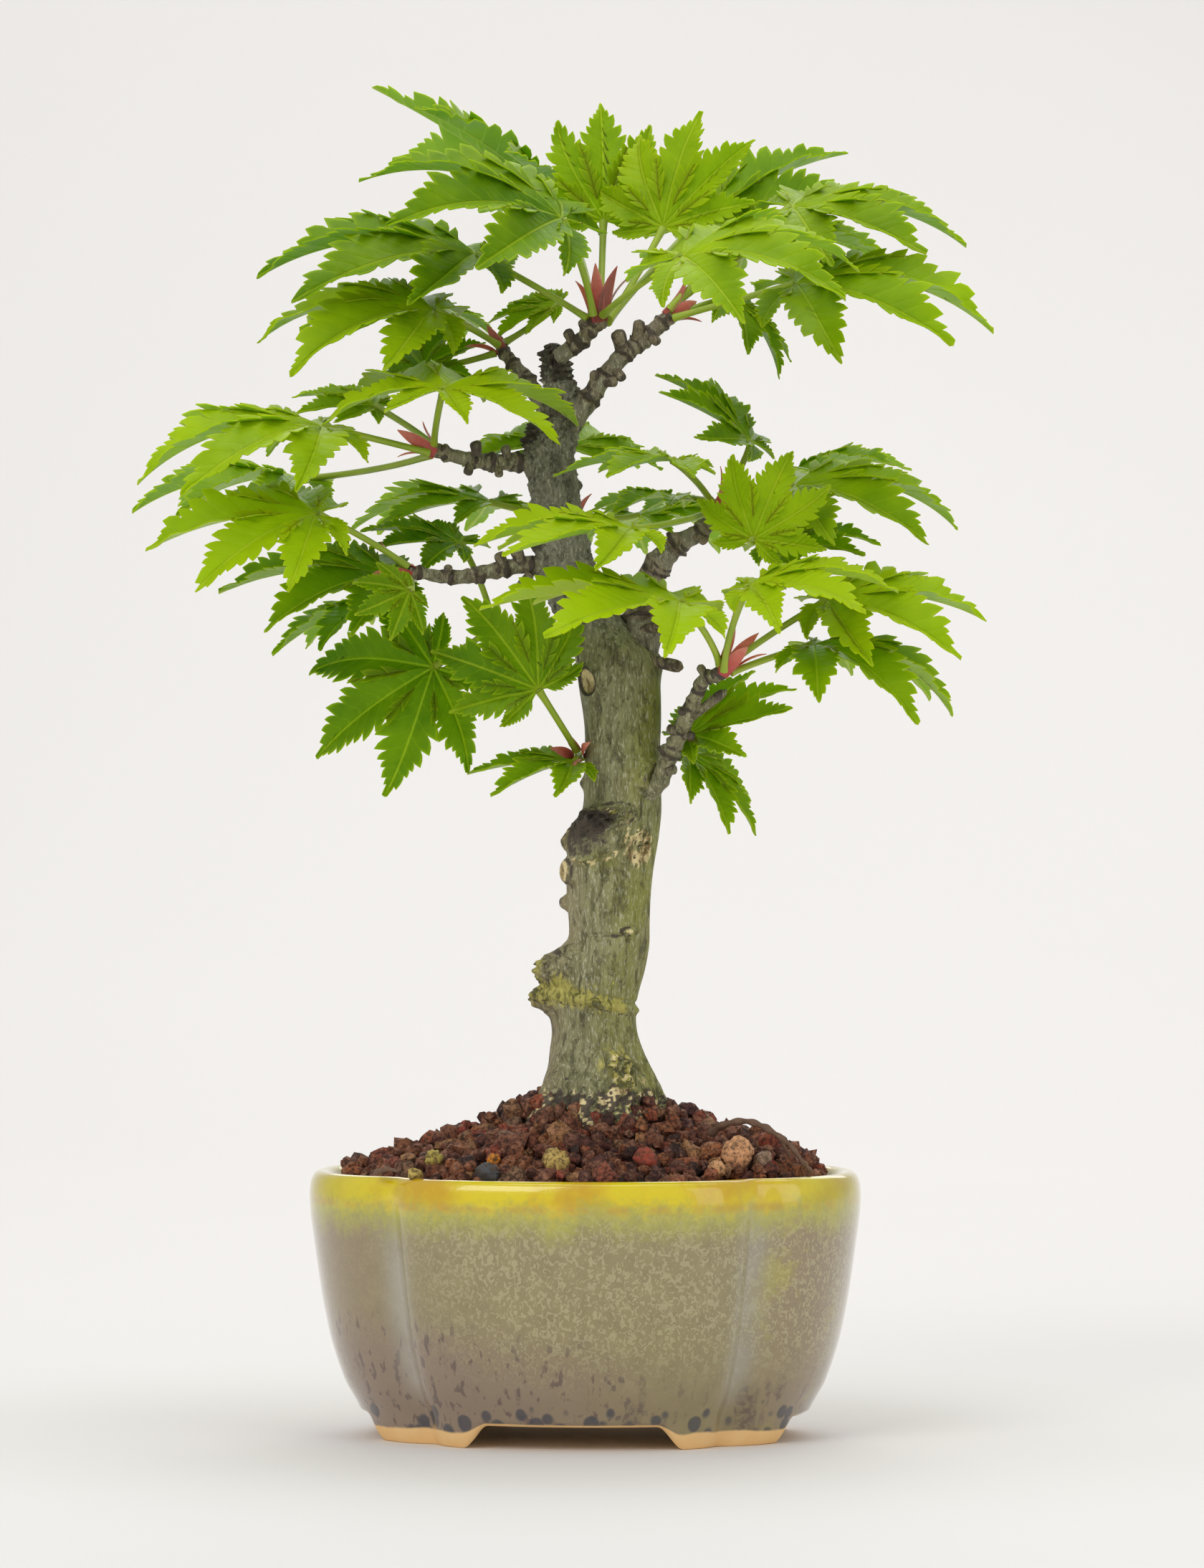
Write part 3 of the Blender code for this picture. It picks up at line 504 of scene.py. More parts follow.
# The dark pit colour here is painted shade.
skin = pitted_tones(tree, STONE_TONES, (0.10, 0.06, 0.03), 900, 0.38, 0.56)
dress(odd_stone, {"Base Color": skin["Colour"], "Roughness": skin["Height"].span(0.3, 0.7, 0.9, 0.55)},
      skin["Height"], 0.0008, 0.8)
stone_points, stone_groups = rough_stones(
    ODD_STONES[:, :3], ODD_STONES[:, 3], STONE_AROUND, STONE_RINGS, STONE_ROUGH, np.random.default_rng(3))
stone_tones = np.repeat(ODD_STONES[:, 4], len(stone_points) // len(ODD_STONES))
stones = surface_object("odd_stones", stone_points, stone_groups, [odd_stone], tone=stone_tones)
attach(stones, "root")

# Dead roots and a scrap of dry leaf on the soil: the root came up with the tree's own, and arches out at the
# right with a rootlet off it. Points along each, and its first and last radius.
DEAD_ROOTS = {
    "dead_root": (((27, -15, 66), (30, -18, 68.2), (35, -20.5, 69), (39.5, -22, 67.2), (43.5, -23, 64.4),
                   (46.5, -23.5, 60.6), (48.5, -23.5, 58.4)), 0.85, 0.45),
    "dead_rootlet": (((36, -20, 68.6), (39.5, -18.5, 67.6), (42, -18.5, 64.6), (44, -19, 61.5)), 0.5, 0.3),
    "leaf_scrap": (((-44.5, -27, 58.4), (-42, -29, 59.4), (-39.5, -30.5, 58.9)), 0.7, 0.25),
}
dead_wood, tree = new_material("dead_root")
grain = noise(tree, 500, 4, 0.65)
dress(dead_wood, {"Base Color": grain.mix((0.060, 0.030, 0.020), (0.260, 0.150, 0.090)),
                  "Roughness": grain.span(0.3, 0.7, 0.9, 0.6)}, grain, 0.0005, 0.8)
for name, (points, first, last) in DEAD_ROOTS.items():
    path = finer(points, 10)
    radii = np.linspace(first, last, len(path)) * (1.0 + 0.22 * np.sin(np.arange(len(path)) * 0.9))
    root = surface_object(name, *swept(path, radii, (0.2, 0.95, 0.2), 10), [dead_wood])
    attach(root, "root")

# The trunk: one old maple stem that flares into surface roots at the soil, leans and narrows at a fork, and ends
# in a dead stub. Its bark is smooth grey-green with fine pale streaks, over the swellings, healed pruning cuts,
# lumps and rings that years of pinching back leave on it.
# Height, left edge and right edge.
TRUNK_LINE = (
    (52, -5, 11), (60, -9.5, 15.5), (67, -12.6, 19.2), (71.4, -11, 17.6), (76.4, -9.6, 15.4), (81.4, -7.8, 13.4),
    (86.4, -6.8, 11.6), (90, -7, 11.1), (93.4, -7.6, 11.2), (96.4, -7.4, 11.7), (101.4, -5.6, 13.1),
    (106.4, -3.7, 14.1), (111.4, -3.3, 14.2), (118.4, -3.7, 14.2), (124, -4, 14.6), (130, -3, 15.7),
    (135.4, -0.4, 16.6), (141, 0.2, 16.7), (150, 0, 16.3), (156.4, -0.5, 16.3), (161.4, -1.2, 16.4),
    (166.4, -2, 16.4), (170, -2.7, 14.8), (173.5, -4, 11), (177, -5.8, 7.4), (181.4, -8, 5), (186.4, -9.5, 3.4),
    (194, -10.4, 0.8), (201.4, -11.1, -1), (208, -12.2, -1.6), (213, -12.6, -2.2), (218, -10.2, -1.2),
    (224, -8.6, -1.8), (230, -9.4, -3.4), (234.5, -9.4, -4.2), (236.2, -8.9, -4.9), (236.9, -7.7, -6),
)
TRUNK_AROUND = 168
LEFT, RIGHT = math.pi, 0.0


def wave_noise(points, length, rng, waves=14):
    """Soft noise of about -1 to 1: a sum of sine waves in chance directions, each about as long as length."""
    ways = rng.normal(0.0, 1.0, (waves, 3))
    ways *= rng.uniform(0.6, 1.6, (waves, 1)) * 2 * np.pi / length / np.linalg.norm(ways, axis=1, keepdims=True)
    starts = rng.uniform(0.0, 2 * np.pi, waves)
    return np.sin(points @ ways.T + starts).sum(axis=-1) / math.sqrt(waves)


trunk_rng = np.random.default_rng(5)
trunk_line = finer(TRUNK_LINE, 14)
trunk_z = trunk_line[:, :1]
trunk_mid = (trunk_line[:, 1:2] + trunk_line[:, 2:]) / 2
trunk_radius = (trunk_line[:, 2:] - trunk_line[:, 1:2]) / 2
around = np.linspace(-np.pi, np.pi, TRUNK_AROUND, endpoint=False)[None, :]
plain = np.stack(
    [trunk_mid + trunk_radius * np.cos(around), trunk_radius * np.sin(around), trunk_z + 0.0 * around], axis=-1)


def facing(x, height):
    """The angle round the trunk, on its near side, of the point that is x across at a height."""
    middle, radius = (np.interp(height, trunk_z[:, 0], line[:, 0]) for line in (trunk_mid, trunk_radius))
    return -math.acos(max(-1.0, min(1.0, (x - middle) / radius)))


def off(angle, height, wide, tall):
    """How far each point of the trunk is from a place on it, in patch sizes."""
    across = trunk_radius * ((around - angle + np.pi) % (2 * np.pi) - np.pi)
    return np.hypot(across / wide, (trunk_z - height) / tall)


def patch(angle, height, wide, tall, power=2.0):
    """1 at a place on the trunk and 0 far from it: exp(-d^power), with d the distance in patch sizes."""
    return np.exp(-(off(angle, height, wide, tall) ** power))


def rim(angle, height, wide, tall, thick):
    """1 on a ring round a place, as round a healed cut: exp(-((d - 1) / thick)^2)."""
    return np.exp(-(((off(angle, height, wide, tall) - 1.0) / thick) ** 2))


def near(x, height, *size):
    """A patch on the near side, x across."""
    return patch(facing(x, height), height, *size)


def near_rim(x, height, *size):
    """A ring on the near side, x across."""
    return rim(facing(x, height), height, *size)


def level(height, tall):
    """1 all round the trunk at a height: exp(-((z - height) / tall)^2)."""
    return np.exp(-(((trunk_z - height) / tall) ** 2))


rough = wave_noise(plain * (1.0, 1.0, 0.6), 3.0, trunk_rng)
rougher = wave_noise(plain, 1.5, trunk_rng)
lumpy = wave_noise(plain * (1.0, 1.0, 0.5), 11.0, trunk_rng)
flare = np.clip((84.0 - trunk_z) / 15.0, 0.0, 1.0)
callus = near(1.2, 130.4, 6.8, 5.8, 5)
callus_top = near(6.5, 134.6, 5, 2.2, 3)
torn = near(12, 127.4, 3.8, 4.2, 4)
scar, edge_scar = facing(0.9, 163.4), 0.42 - math.pi
band_height = 93.9 - 1.9 * np.cos(around)
moss_band = level(band_height + 0.5, 1.5 + 1.3 * np.clip(-np.cos(around - 0.4), 0.0, 1.0))
base_patch = near(8, 79, 4.6, 6.5, 3)
base_zone = np.clip((75.6 + 1.6 * lumpy + 1.6 * np.cos(around + 0.9) - trunk_z) / 2.5, 0.0, 1.0)
upper = np.clip((trunk_z - 171.0) / 8.0, 0.0, 1.0)
knotty = patch(-2.2, 220, 14, 6.5, 4)
stub_end = np.clip((trunk_z - 226.0) / 4.0, 0.0, 1.0) + 0.0 * around

# Plain swellings: how high and how rough each is, then its angle round the trunk, height, width, height and power.
SWELLINGS = (
    (-0.4, 0, scar, 163.4, 1.9, 2.6, 6), (1.9, 0, edge_scar, 122.4, 2.4, 3, 5),
    (-0.5, 0, edge_scar, 122.4, 1.3, 1.9, 6), (4.9, 0.16, LEFT + 0.30, 101.9, 4.6, 3.9, 2.6),
    (3.2, 0.2, LEFT + 0.15, 94.6, 3.6, 2.8, 2.6), (1.4, 0, LEFT + 0.2, 98, 4, 6), (1.8, 0, LEFT, 115.4, 1.6, 1.6, 4),
    (0.9, 0, facing(9.2, 109.4), 109.4, 2.8, 1), (-0.5, 0, facing(4, 108.6), 108.6, 4.5, 0.4),
    (0.8, 0, facing(14.4, 142.6), 142.6, 4.5, 4), (1, 0, facing(-0.1, 141.4), 141.4, 1, 1.3),
    (1.4, 0, RIGHT, 168.6, 4, 3.2), (1, 0, RIGHT - 0.5, 144, 3, 3), (1.3, 0, LEFT, 188, 2.8, 2.8, 3),
    (1.4, 0, LEFT, 211, 2.6, 2.6, 3), (2.8, 0.2, LEFT, 217.4, 2.6, 3, 3), (0.9, 0, -2, 194, 5, 1),
    (0.7, 0, -0.8, 193.4, 4, 0.9), (2, 0, LEFT + 0.5, 193.4, 2.2, 2.6, 3), (1.2, 0, RIGHT, 224, 2.4, 3),
    (1, 0, RIGHT + 0.2, 206, 1.4, 1.2),
)
swelling = sum(high * (1.0 + rough_share * rougher) * patch(*spot) for high, rough_share, *spot in SWELLINGS)
swelling = swelling + (
    0.35 * lumpy + flare * (1.5 * np.cos(5 * around + 0.6) + 0.9 * np.cos(8 * around + 2.0) + 0.5 * rough)
    + 2.3 * callus * (1.0 + 0.12 * rougher) + 0.8 * callus_top * (1.0 + rougher) + torn * (0.3 + 0.55 * rougher)
    + 0.9 * near_rim(1.2, 130.4, 6.6, 5.6, 0.13) * (1.0 + 0.5 * rough) + 0.9 * rim(scar, 163.4, 2.5, 3.2, 0.22)
    + 0.6 * near_rim(9.2, 109.4, 1.6, 1.1, 0.3) + 1.5 * near_rim(14.4, 142.6, 2.9, 2.9, 0.35)
    + 0.55 * level(band_height, 0.9) * (1.0 + 0.7 * rough) - 0.4 * level(band_height + 1.7, 0.5)
    + base_patch * (0.4 + 0.8 * rough) + 0.7 * knotty * rough + 0.35 * upper * rougher + 0.5 * stub_end * rougher
)
swelling = swelling * np.clip((237.0 - trunk_z) / 2.0, 0.12, 1.0)
outward = np.stack([np.cos(around) + 0.0 * trunk_z, np.sin(around) + 0.0 * trunk_z, 0.0 * swelling], axis=-1)
bark_points = plain + outward * swelling[..., None]

cream_mark = np.maximum.reduce([
    1.2 * patch(scar, 163.4, 1.9, 2.6, 8), 1.1 * patch(edge_scar, 122.4, 1.5, 2.2, 6),
    1.1 * torn * (rougher > -0.5) * (1.0 - 0.7 * near(11.2, 127.8, 1.6, 2, 3)),
    0.55 * near(-6, 73.5, 30, 2.8) * (rough > -0.1), 0.5 * base_patch * (rougher > 0.2),
    0.35 * patch(facing(14, 74), 76, 3, 7), 0.6 * near(9.2, 109.4, 1.1, 0.5), 0.72 * base_zone * (rough > 0.2),
    0.5 * np.clip(flare * 1.6 - 0.35, 0.0, 1.0) * (rougher > 1.1), 0.42 * flare * (rougher > 0.9),
    0.65 * near_rim(2.2, 130, 6.9, 5.8, 0.12) * (rougher > -0.2),
])
black_mark = np.maximum.reduce([
    1.15 * near(1.4, 132.6, 5.4, 3.4, 5), 0.52 * near(0.2, 129.6, 6.6, 4.8, 6), 0.7 * callus_top * (rougher > 0.2),
    0.85 * rim(scar, 163.4, 2.3, 3, 0.16), 0.8 * patch(LEFT, 115.4, 1.2, 1.3), 0.6 * near(6.6, 108.4, 2, 0.5),
    0.6 * near(5, 108.4, 3.6, 0.4) * (rough > 0.0), 0.75 * near_rim(9.2, 109.4, 1.7, 0.9, 0.3) * (rough > -0.5),
    0.8 * near(-0.1, 141.4, 1, 1.2), 0.85 * patch(LEFT, 217.4, 3.4, 3.6, 4),
    0.7 * patch(LEFT + 0.5, 193.4, 2.6, 3, 4), 0.6 * stub_end * (rough > -0.8), 0.5 * knotty * (rough > 0.1),
    0.6 * rim(edge_scar, 122.4, 2, 2.7, 0.2), 0.55 * rim(LEFT + 0.30, 101.9, 3.6, 3.3, 0.25) * (rough > 0.0),
    0.6 * patch(LEFT + 0.15, 98.4, 3.4, 0.7), 0.5 * patch(LEFT + 0.15, 92, 3, 0.8),
    0.55 * level(72.5 + 1.5 * lumpy, 1.6) * (rough < 0.2), 0.5 * near_rim(14.4, 142.6, 3, 3, 0.2),
    0.5 * near_rim(6.5, 134.6, 4.6, 2.6, 0.2), 0.6 * patch(RIGHT + 0.2, 206, 1.4, 1.2),
    0.66 * np.clip(flare * 2.6, 0.0, 1.0) * (rougher < -1.15) * (np.abs(trunk_z - 76.0) < 9.0),
    0.62 * torn * (rougher < -0.5), 0.55 * moss_band * (rougher < -1.1), 0.80 * base_zone * (rougher < 0.15),
    0.6 * level(band_height - 1.2 + 0.5 * lumpy, 0.4) * (rougher > 0.1) * (np.cos(around) < 0.8),
    0.7 * base_patch * (rougher < -0.5),
])
moss_mark = np.maximum.reduce([
    0.80 * moss_band * (np.cos(around) < 0.75) * (1.0 + 0.25 * rougher), 0.75 * base_patch * (rough > -0.4),
    0.8 * near(-5.6, 97.6, 3.4, 3.6) * (rough > -0.5), 0.6 * patch(LEFT + 0.10, 101.9, 4, 3.6),
    0.6 * near(11, 72.5, 5, 3), 0.45 * patch(facing(3, 96), 97.5, 6, 1.4) * (rougher > 0.4),
    0.5 * callus_top * (rougher < -0.3),
])
olive_mark = np.clip(np.cos(around + 0.35) * 1.1 - 0.15, 0.0, 1.0) * np.clip((172.0 - trunk_z) / 12.0, 0.0, 1.0)
olive_mark = np.maximum(olive_mark * (0.75 + 0.25 * lumpy), 0.7 * near(3.5, 124.6, 5, 2))
# Painted highlight: a warm light down the left edge of the lower trunk, fading out by 150 mm up.
painted_edge_light = np.clip(-np.cos(around) * 1.3 - 0.75, 0.0, 1.0) * np.clip((150.0 - trunk_z) / 30.0, 0.0, 1.0)

bark, tree = new_material("maple_bark")
cream, black, moss = parts(mark(tree, "marks", "Vector"))
olive, greyed, brown_and_edge_light = parts(mark(tree, "shades", "Vector"))
grain = noise(tree, 900, 3, 0.65, (1, 1, 0.14))
flecks = noise(tree, 2300, 3, 0.6, (1, 1, 0.30))
blotches = noise(tree, 150, 4, 0.6)
cracks = noise(tree, 420, 5, 0.7, (1, 1, 0.45), 0.6)
ragged = cracks.span(0.3, 0.7, -0.28, 0.28)
bark_colour = coated(
    grain.span(0.25, 0.75).mix((0.124, 0.116, 0.046), (0.335, 0.325, 0.158)),
    (blotches.span(0.35, 0.70, 0, 0.55), (0.300, 0.292, 0.150)),
    (olive * blotches.span(0.2, 0.7, 1, 0.75), grain.mix((0.190, 0.192, 0.024), (0.375, 0.385, 0.070))),
    (greyed * 0.75, grain.mix((0.125, 0.115, 0.085), (0.330, 0.320, 0.265))),
    # The third shade: on the branches their real brown, on the trunk the painted highlight down its left edge.
    (brown_and_edge_light * 0.55, (0.43, 0.29, 0.19)),
    (flecks.span(0.54, 0.64, 0, 0.62), (0.560, 0.550, 0.390)),
    (cracks.span(0.32, 0.45, 0.65, 0), (0.070, 0.056, 0.030)),
    ((moss + ragged).span(0.25, 0.6, 0, 0.9), cracks.span(0.35, 0.62).mix((0.13, 0.12, 0.018), (0.52, 0.47, 0.11))),
    ((cream + ragged).span(0.35, 0.6, 0, 0.95), cracks.span(0.32, 0.62).mix((0.30, 0.18, 0.055), (0.90, 0.75, 0.40))),
    ((black + ragged).span(0.35, 0.62, 0, 0.93), cracks.mix((0.015, 0.010, 0.008), (0.100, 0.072, 0.056))),
)
dress(bark, {"Base Color": bark_colour, "Roughness": grain.span(0.3, 0.7, 0.78, 0.6)},
      grain * 0.35 + cracks.span(0.28, 0.5) * 0.6, 0.0011, 0.9)
trunk = surface_object(
    "maple_trunk", bark_points.reshape(-1, 3), ring_faces(len(bark_points), TRUNK_AROUND), [bark],
    marks=np.stack([cream_mark, black_mark, moss_mark], axis=-1).reshape(-1, 3),
    shades=np.stack([olive_mark, upper + 0.0 * around, painted_edge_light], axis=-1).reshape(-1, 3))
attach(trunk, "root")
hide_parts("trunk")

# Branches: twigs with the trunk's bark, ringed and knotted where each year's growth and each pair of buds sat,
# thinner and browner towards the shoots. Dark buds and stubs stand at the knots.
# Points along each branch, its first and last radius, how far along it its knots lie, how weathered and dark it
# is, and its stubs: where each starts, its way and length, and its radius.
BRANCHES = {
    "lower_right_branch": (((13.6, -6, 139.5), (16.2, -8.2, 141.8), (18, -10.5, 147), (20.3, -13.5, 151.8),
        (22.3, -16.5, 156.2), (24, -19, 160.5), (25.6, -21.5, 163.4), (28.4, -23.8, 164.6), (30.2, -25, 165.8)),
        2.15, 1.3, (0.3, 0.47, 0.63, 0.76, 0.88, 0.96), 0.25, (((17.5, -11, 143.8), (2.6, -1, 0.6), 0.9),
        ((20, -14.5, 152), (-2.8, -1.5, 1.4), 0.9), ((22.5, -17, 156.4), (-3, -1, 0.4), 0.8),
        ((21, -14.5, 151.5), (3, -1.5, -0.2), 0.8), ((22.3, -16.5, 155), (9.5, -4, 7.4), 0.9),
        ((26, -21.5, 163.5), (-2, -1, 3.6), 0.8))),
    "second_leader": (((10, -1, 165.5), (12.4, 0, 172.6), (12.6, 1.5, 178), (13.2, 2.5, 183), (15.6, 1, 188.5),
        (20, -1, 193), (25, -2.5, 196), (29, -3.2, 200.5)), 4.6, 1.4, (0.28, 0.38, 0.55, 0.72, 0.86, 0.95), 1,
        (((12, -2.5, 174.6), (6.5, -3, 0.6), 1), ((13, -1, 178.6), (3.6, -2.5, 2.8), 1.1), ((12, -1.5, 181),
        (-3.4, -2, 2.6), 1), ((24, -3.5, 195), (2.6, -1.5, -2), 0.9), ((14, -3.5, 167.8), (8.5, -3, -1.8),
        1.2))),
    "lower_left_branch": (((-6.5, -1.5, 188.6), (-10.8, -1.5, 188.4), (-14, -2, 188.6), (-20, -3.5, 187.4),
        (-25, -5, 186.2), (-30, -6.5, 186), (-38, -8.5, 187)), 2, 1.2, (0.16, 0.34, 0.55, 0.72, 0.93), 0.7,
        (((-14, -3, 189), (-1.6, -1.6, 4.2), 1.2), ((-18, -4, 188.2), (-0.8, -1.4, 3.6), 1.1),
        ((-22, -5, 186.6), (-0.8, -1.2, -2.4), 0.8), ((-30, -7, 186.5), (0.6, -1.5, 2), 0.8),
        ((-12, -3.5, 186.4), (-2.6, -1.5, -3.4), 1))),
    "rear_left_twig": (((-1, 4, 171), (-6.8, 6.2, 172), (-10.5, 6.2, 172.4), (-20.5, 4.5, 175.5)), 2, 1.1,
        (0.4, 0.7, 0.92), 1, (((-11, 5.4, 172.6), (-1.6, -2.6, 2.4), 0.9),)),
    "middle_left_branch": (((-9, 0, 211.4), (-14.4, -1, 211), (-19, -2.5, 210.9), (-25, -4, 211.4),
        (-33, -5.5, 213.5)), 1.95, 1.35, (0.22, 0.46, 0.62, 0.88), 0.5, (((-23.5, -4.5, 212.4),
        (-0.4, -1.4, 3.4), 1.1), ((-17, -3, 212), (-0.6, -1.2, 2.8), 0.9), ((-25, -4.6, 210.4),
        (-0.6, -1.4, -2.8), 0.9), ((-19, -3.4, 209.8), (0.4, -1.2, -2.6), 0.8), ((-29.5, -5.5, 212.2),
        (-1.6, -1.4, 2.4), 0.9))),
    "rear_branch": (((-3.8, 3, 189), (-3.8, 7.6, 191), (-3.8, 13, 194), (-3.4, 21, 197), (-3, 30.5, 200)), 2.8,
        1.3, (0.35, 0.6, 0.8, 0.94), 1, (((-3.6, 15, 194.8), (2.8, 1, 1.6), 0.9), ((-3.2, 23, 197.6),
        (-2.8, 1, 1.4), 0.8))),
    "upper_left_twig": (((-8, 1.5, 222), (-10.6, 3.4, 226), (-13.4, 5.4, 230), (-18.5, 8.5, 236.5)), 2.1, 1.2,
        (0.45, 0.75, 0.93), 1, (((-12.6, 4.4, 229), (-3, -1.6, 0.8), 0.9),)),
    "upper_right_branch": (((-4, -1.5, 218.5), (-0.6, -2.4, 222.4), (2.4, -2.6, 227), (5.4, -2.4, 230.8),
        (9.2, -2, 235), (12.5, -1, 237.2), (18.5, 0, 243)), 2.4, 1.5, (0.24, 0.42, 0.6, 0.7, 0.82, 0.93), 1,
        (((1.7, -3.4, 226.8), (0.4, -1.6, 4.6), 0.9), ((6.4, -3.2, 231), (2.2, -1.8, -3), 0.9), ((8, -3, 235),
        (-1.4, -1.8, 5.2), 1.4), ((11, -2.2, 237.5), (1, -1.4, 5), 1.1), ((13.5, -1.6, 238.4), (3, -1.6, -2.2),
        0.9), ((3.4, -3.2, 228), (4.2, -2.2, 0.2), 1))),
    "top_twig": (((-6, -1.5, 233.6), (-2.9, -2.6, 235.6), (-1, -4, 237), (3, -7, 241.5)), 1.9, 1.4,
        (0.35, 0.55, 0.75, 0.92), 1, (((-2.6, -3.4, 236.4), (-1.8, -1.4, 3.6), 1), ((0.4, -5.6, 238.4),
        (-1.2, -1.8, 3.8), 1.1), ((2, -6.6, 240), (3, -1.8, 0.8), 1))),
}
TWIG_SIDES, STUB_SIDES = 24, 12
STUB_LENGTH, STUB_STOUTNESS = 0.85, 1.3
STUB_DARK, TWIG_BROWN = 0.46, 0.25


def twig(points, first, last, knots, rng):
    """A tapered tube along the smooth curve through the points, and how close each of its rings is to a knot,
    from 0 to 1. Its radius swells in a narrow bell at each knot and a lower one past it, and is rougher there."""
    path = finer(points, 16)
    along = np.concatenate([[0.0], np.cumsum(np.linalg.norm(np.diff(path, axis=0), axis=1))])
    radius = first + (last - first) * along / along[-1]
    knotted = np.zeros_like(along)
    for knot in knots:
        off_knot = (along - knot * along[-1]) / rng.uniform(0.55, 0.85)
        past = np.exp(-((off_knot - 2.4) ** 2))
        radius = radius * (1.0 + 0.22 * np.exp(-(off_knot**2)) + 0.06 * past)
        knotted = np.maximum(knotted, np.maximum(np.exp(-((off_knot / 1.3) ** 2)), 0.7 * past))
    turn = np.linspace(0.0, 2 * np.pi, TWIG_SIDES, endpoint=False)
    ring = 2.0 * np.stack([np.cos(turn), np.sin(turn), np.zeros(TWIG_SIDES)], axis=-1)
    wobble = wave_noise(path[:, None] + ring, 2.4, rng) * (0.06 + 0.12 * knotted[:, None])
    steps = np.abs(np.diff(path, axis=0)).mean(axis=0)
    reference = (0.0, 0.0, 1.0) if steps[1] > steps[2] else (0.0, 1.0, 0.0)
    return *swept(path, radius[:, None] * (1.0 + wobble), reference, TWIG_SIDES), knotted


def bud(start, way, radius):
    """A stub: a short tube whose radius grows to a rough knob at its far end and rounds over there."""
    t = np.linspace(0.0, 1.0, 11)
    path = np.array(start) + np.outer(t, way) * STUB_LENGTH + np.outer(np.sin(np.pi * t), (0.15, 0.0, 0.15))
    radii = radius * STUB_STOUTNESS * np.sqrt(np.clip(1.0 - t**7, 0.03, 1.0)) * (0.82 + 0.30 * t**2)
    return swept(path, radii, (0.31, 0.9, 0.31), STUB_SIDES)


branch_rng = np.random.default_rng(17)
for node, (points, first, last, knots, weathered, stubs) in BRANCHES.items():
    pieces = [twig(points, first, last, knots, branch_rng)] + [bud(*stub) for stub in stubs]
    sizes = [len(piece[0]) for piece in pieces]
    starts = np.cumsum([0] + sizes[:-1])
    skin = np.concatenate([piece[0] for piece in pieces])
    groups = [group + start for piece, start in zip(pieces, starts) for group in piece[1]]
    near_knot = np.repeat(pieces[0][2], TWIG_SIDES)
    stubby = np.ones(len(skin) - len(near_knot))
    speckle = 0.12 * wave_noise(skin[: len(near_knot)], 4.0, branch_rng)
    dark = np.concatenate([near_knot * 0.74 + speckle, stubby * STUB_DARK])
    brown = np.concatenate([np.clip(TWIG_BROWN + near_knot * 0.8, 0.0, 1.0), stubby])
    branch = surface_object(
        f"maple_{node}", skin, groups, [bark], marks=np.stack([0 * dark, dark, 0 * dark], axis=-1),
        shades=np.stack([0 * brown, weathered * (1.0 - 0.5 * brown), brown * 0.9 * weathered], axis=-1))
    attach(branch, "root")
    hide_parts(node)

# Leaves: soft palmate maple leaves of seven pointed lobes, each lobe folded along its midrib and saw-toothed at
# the edge, arching down from the palm. The blade is 0.3 mm thick, green above and paler below, and hangs from
# a round stalk that grew out of the shoot.
LOBE_HEADINGS = np.radians([-119.0, -79.0, -39.5, 0.0, 39.5, 79.0, 119.0])
LOBE_SHARES = np.array([0.42, 0.74, 0.94, 1.0, 0.94, 0.74, 0.42])
WIDEST_FAN = math.radians(148)
BLADE_COLUMNS, BASE_ROWS, TEETH = 5, 6, 10
# A tooth's four points: how far through the tooth each is, and how far out and onward it stands.
TOOTH_THROUGH = np.array([0.0, 0.28, 0.56, 0.84])
TOOTH_OUT, TOOTH_ON = np.array([-0.22, 0.38, 0.78, 1.0]), np.array([0.0, 0.06, 0.30, 0.82])
TOOTH_DEPTH, TOOTH_HOOK = 0.60, 0.42
SHARED_FOLD = 0.46
BLADE_THICKNESS = 0.28
STALK_RADIUS, STALK_SPACING, STALK_SIDES = 0.72, 2.1, 8
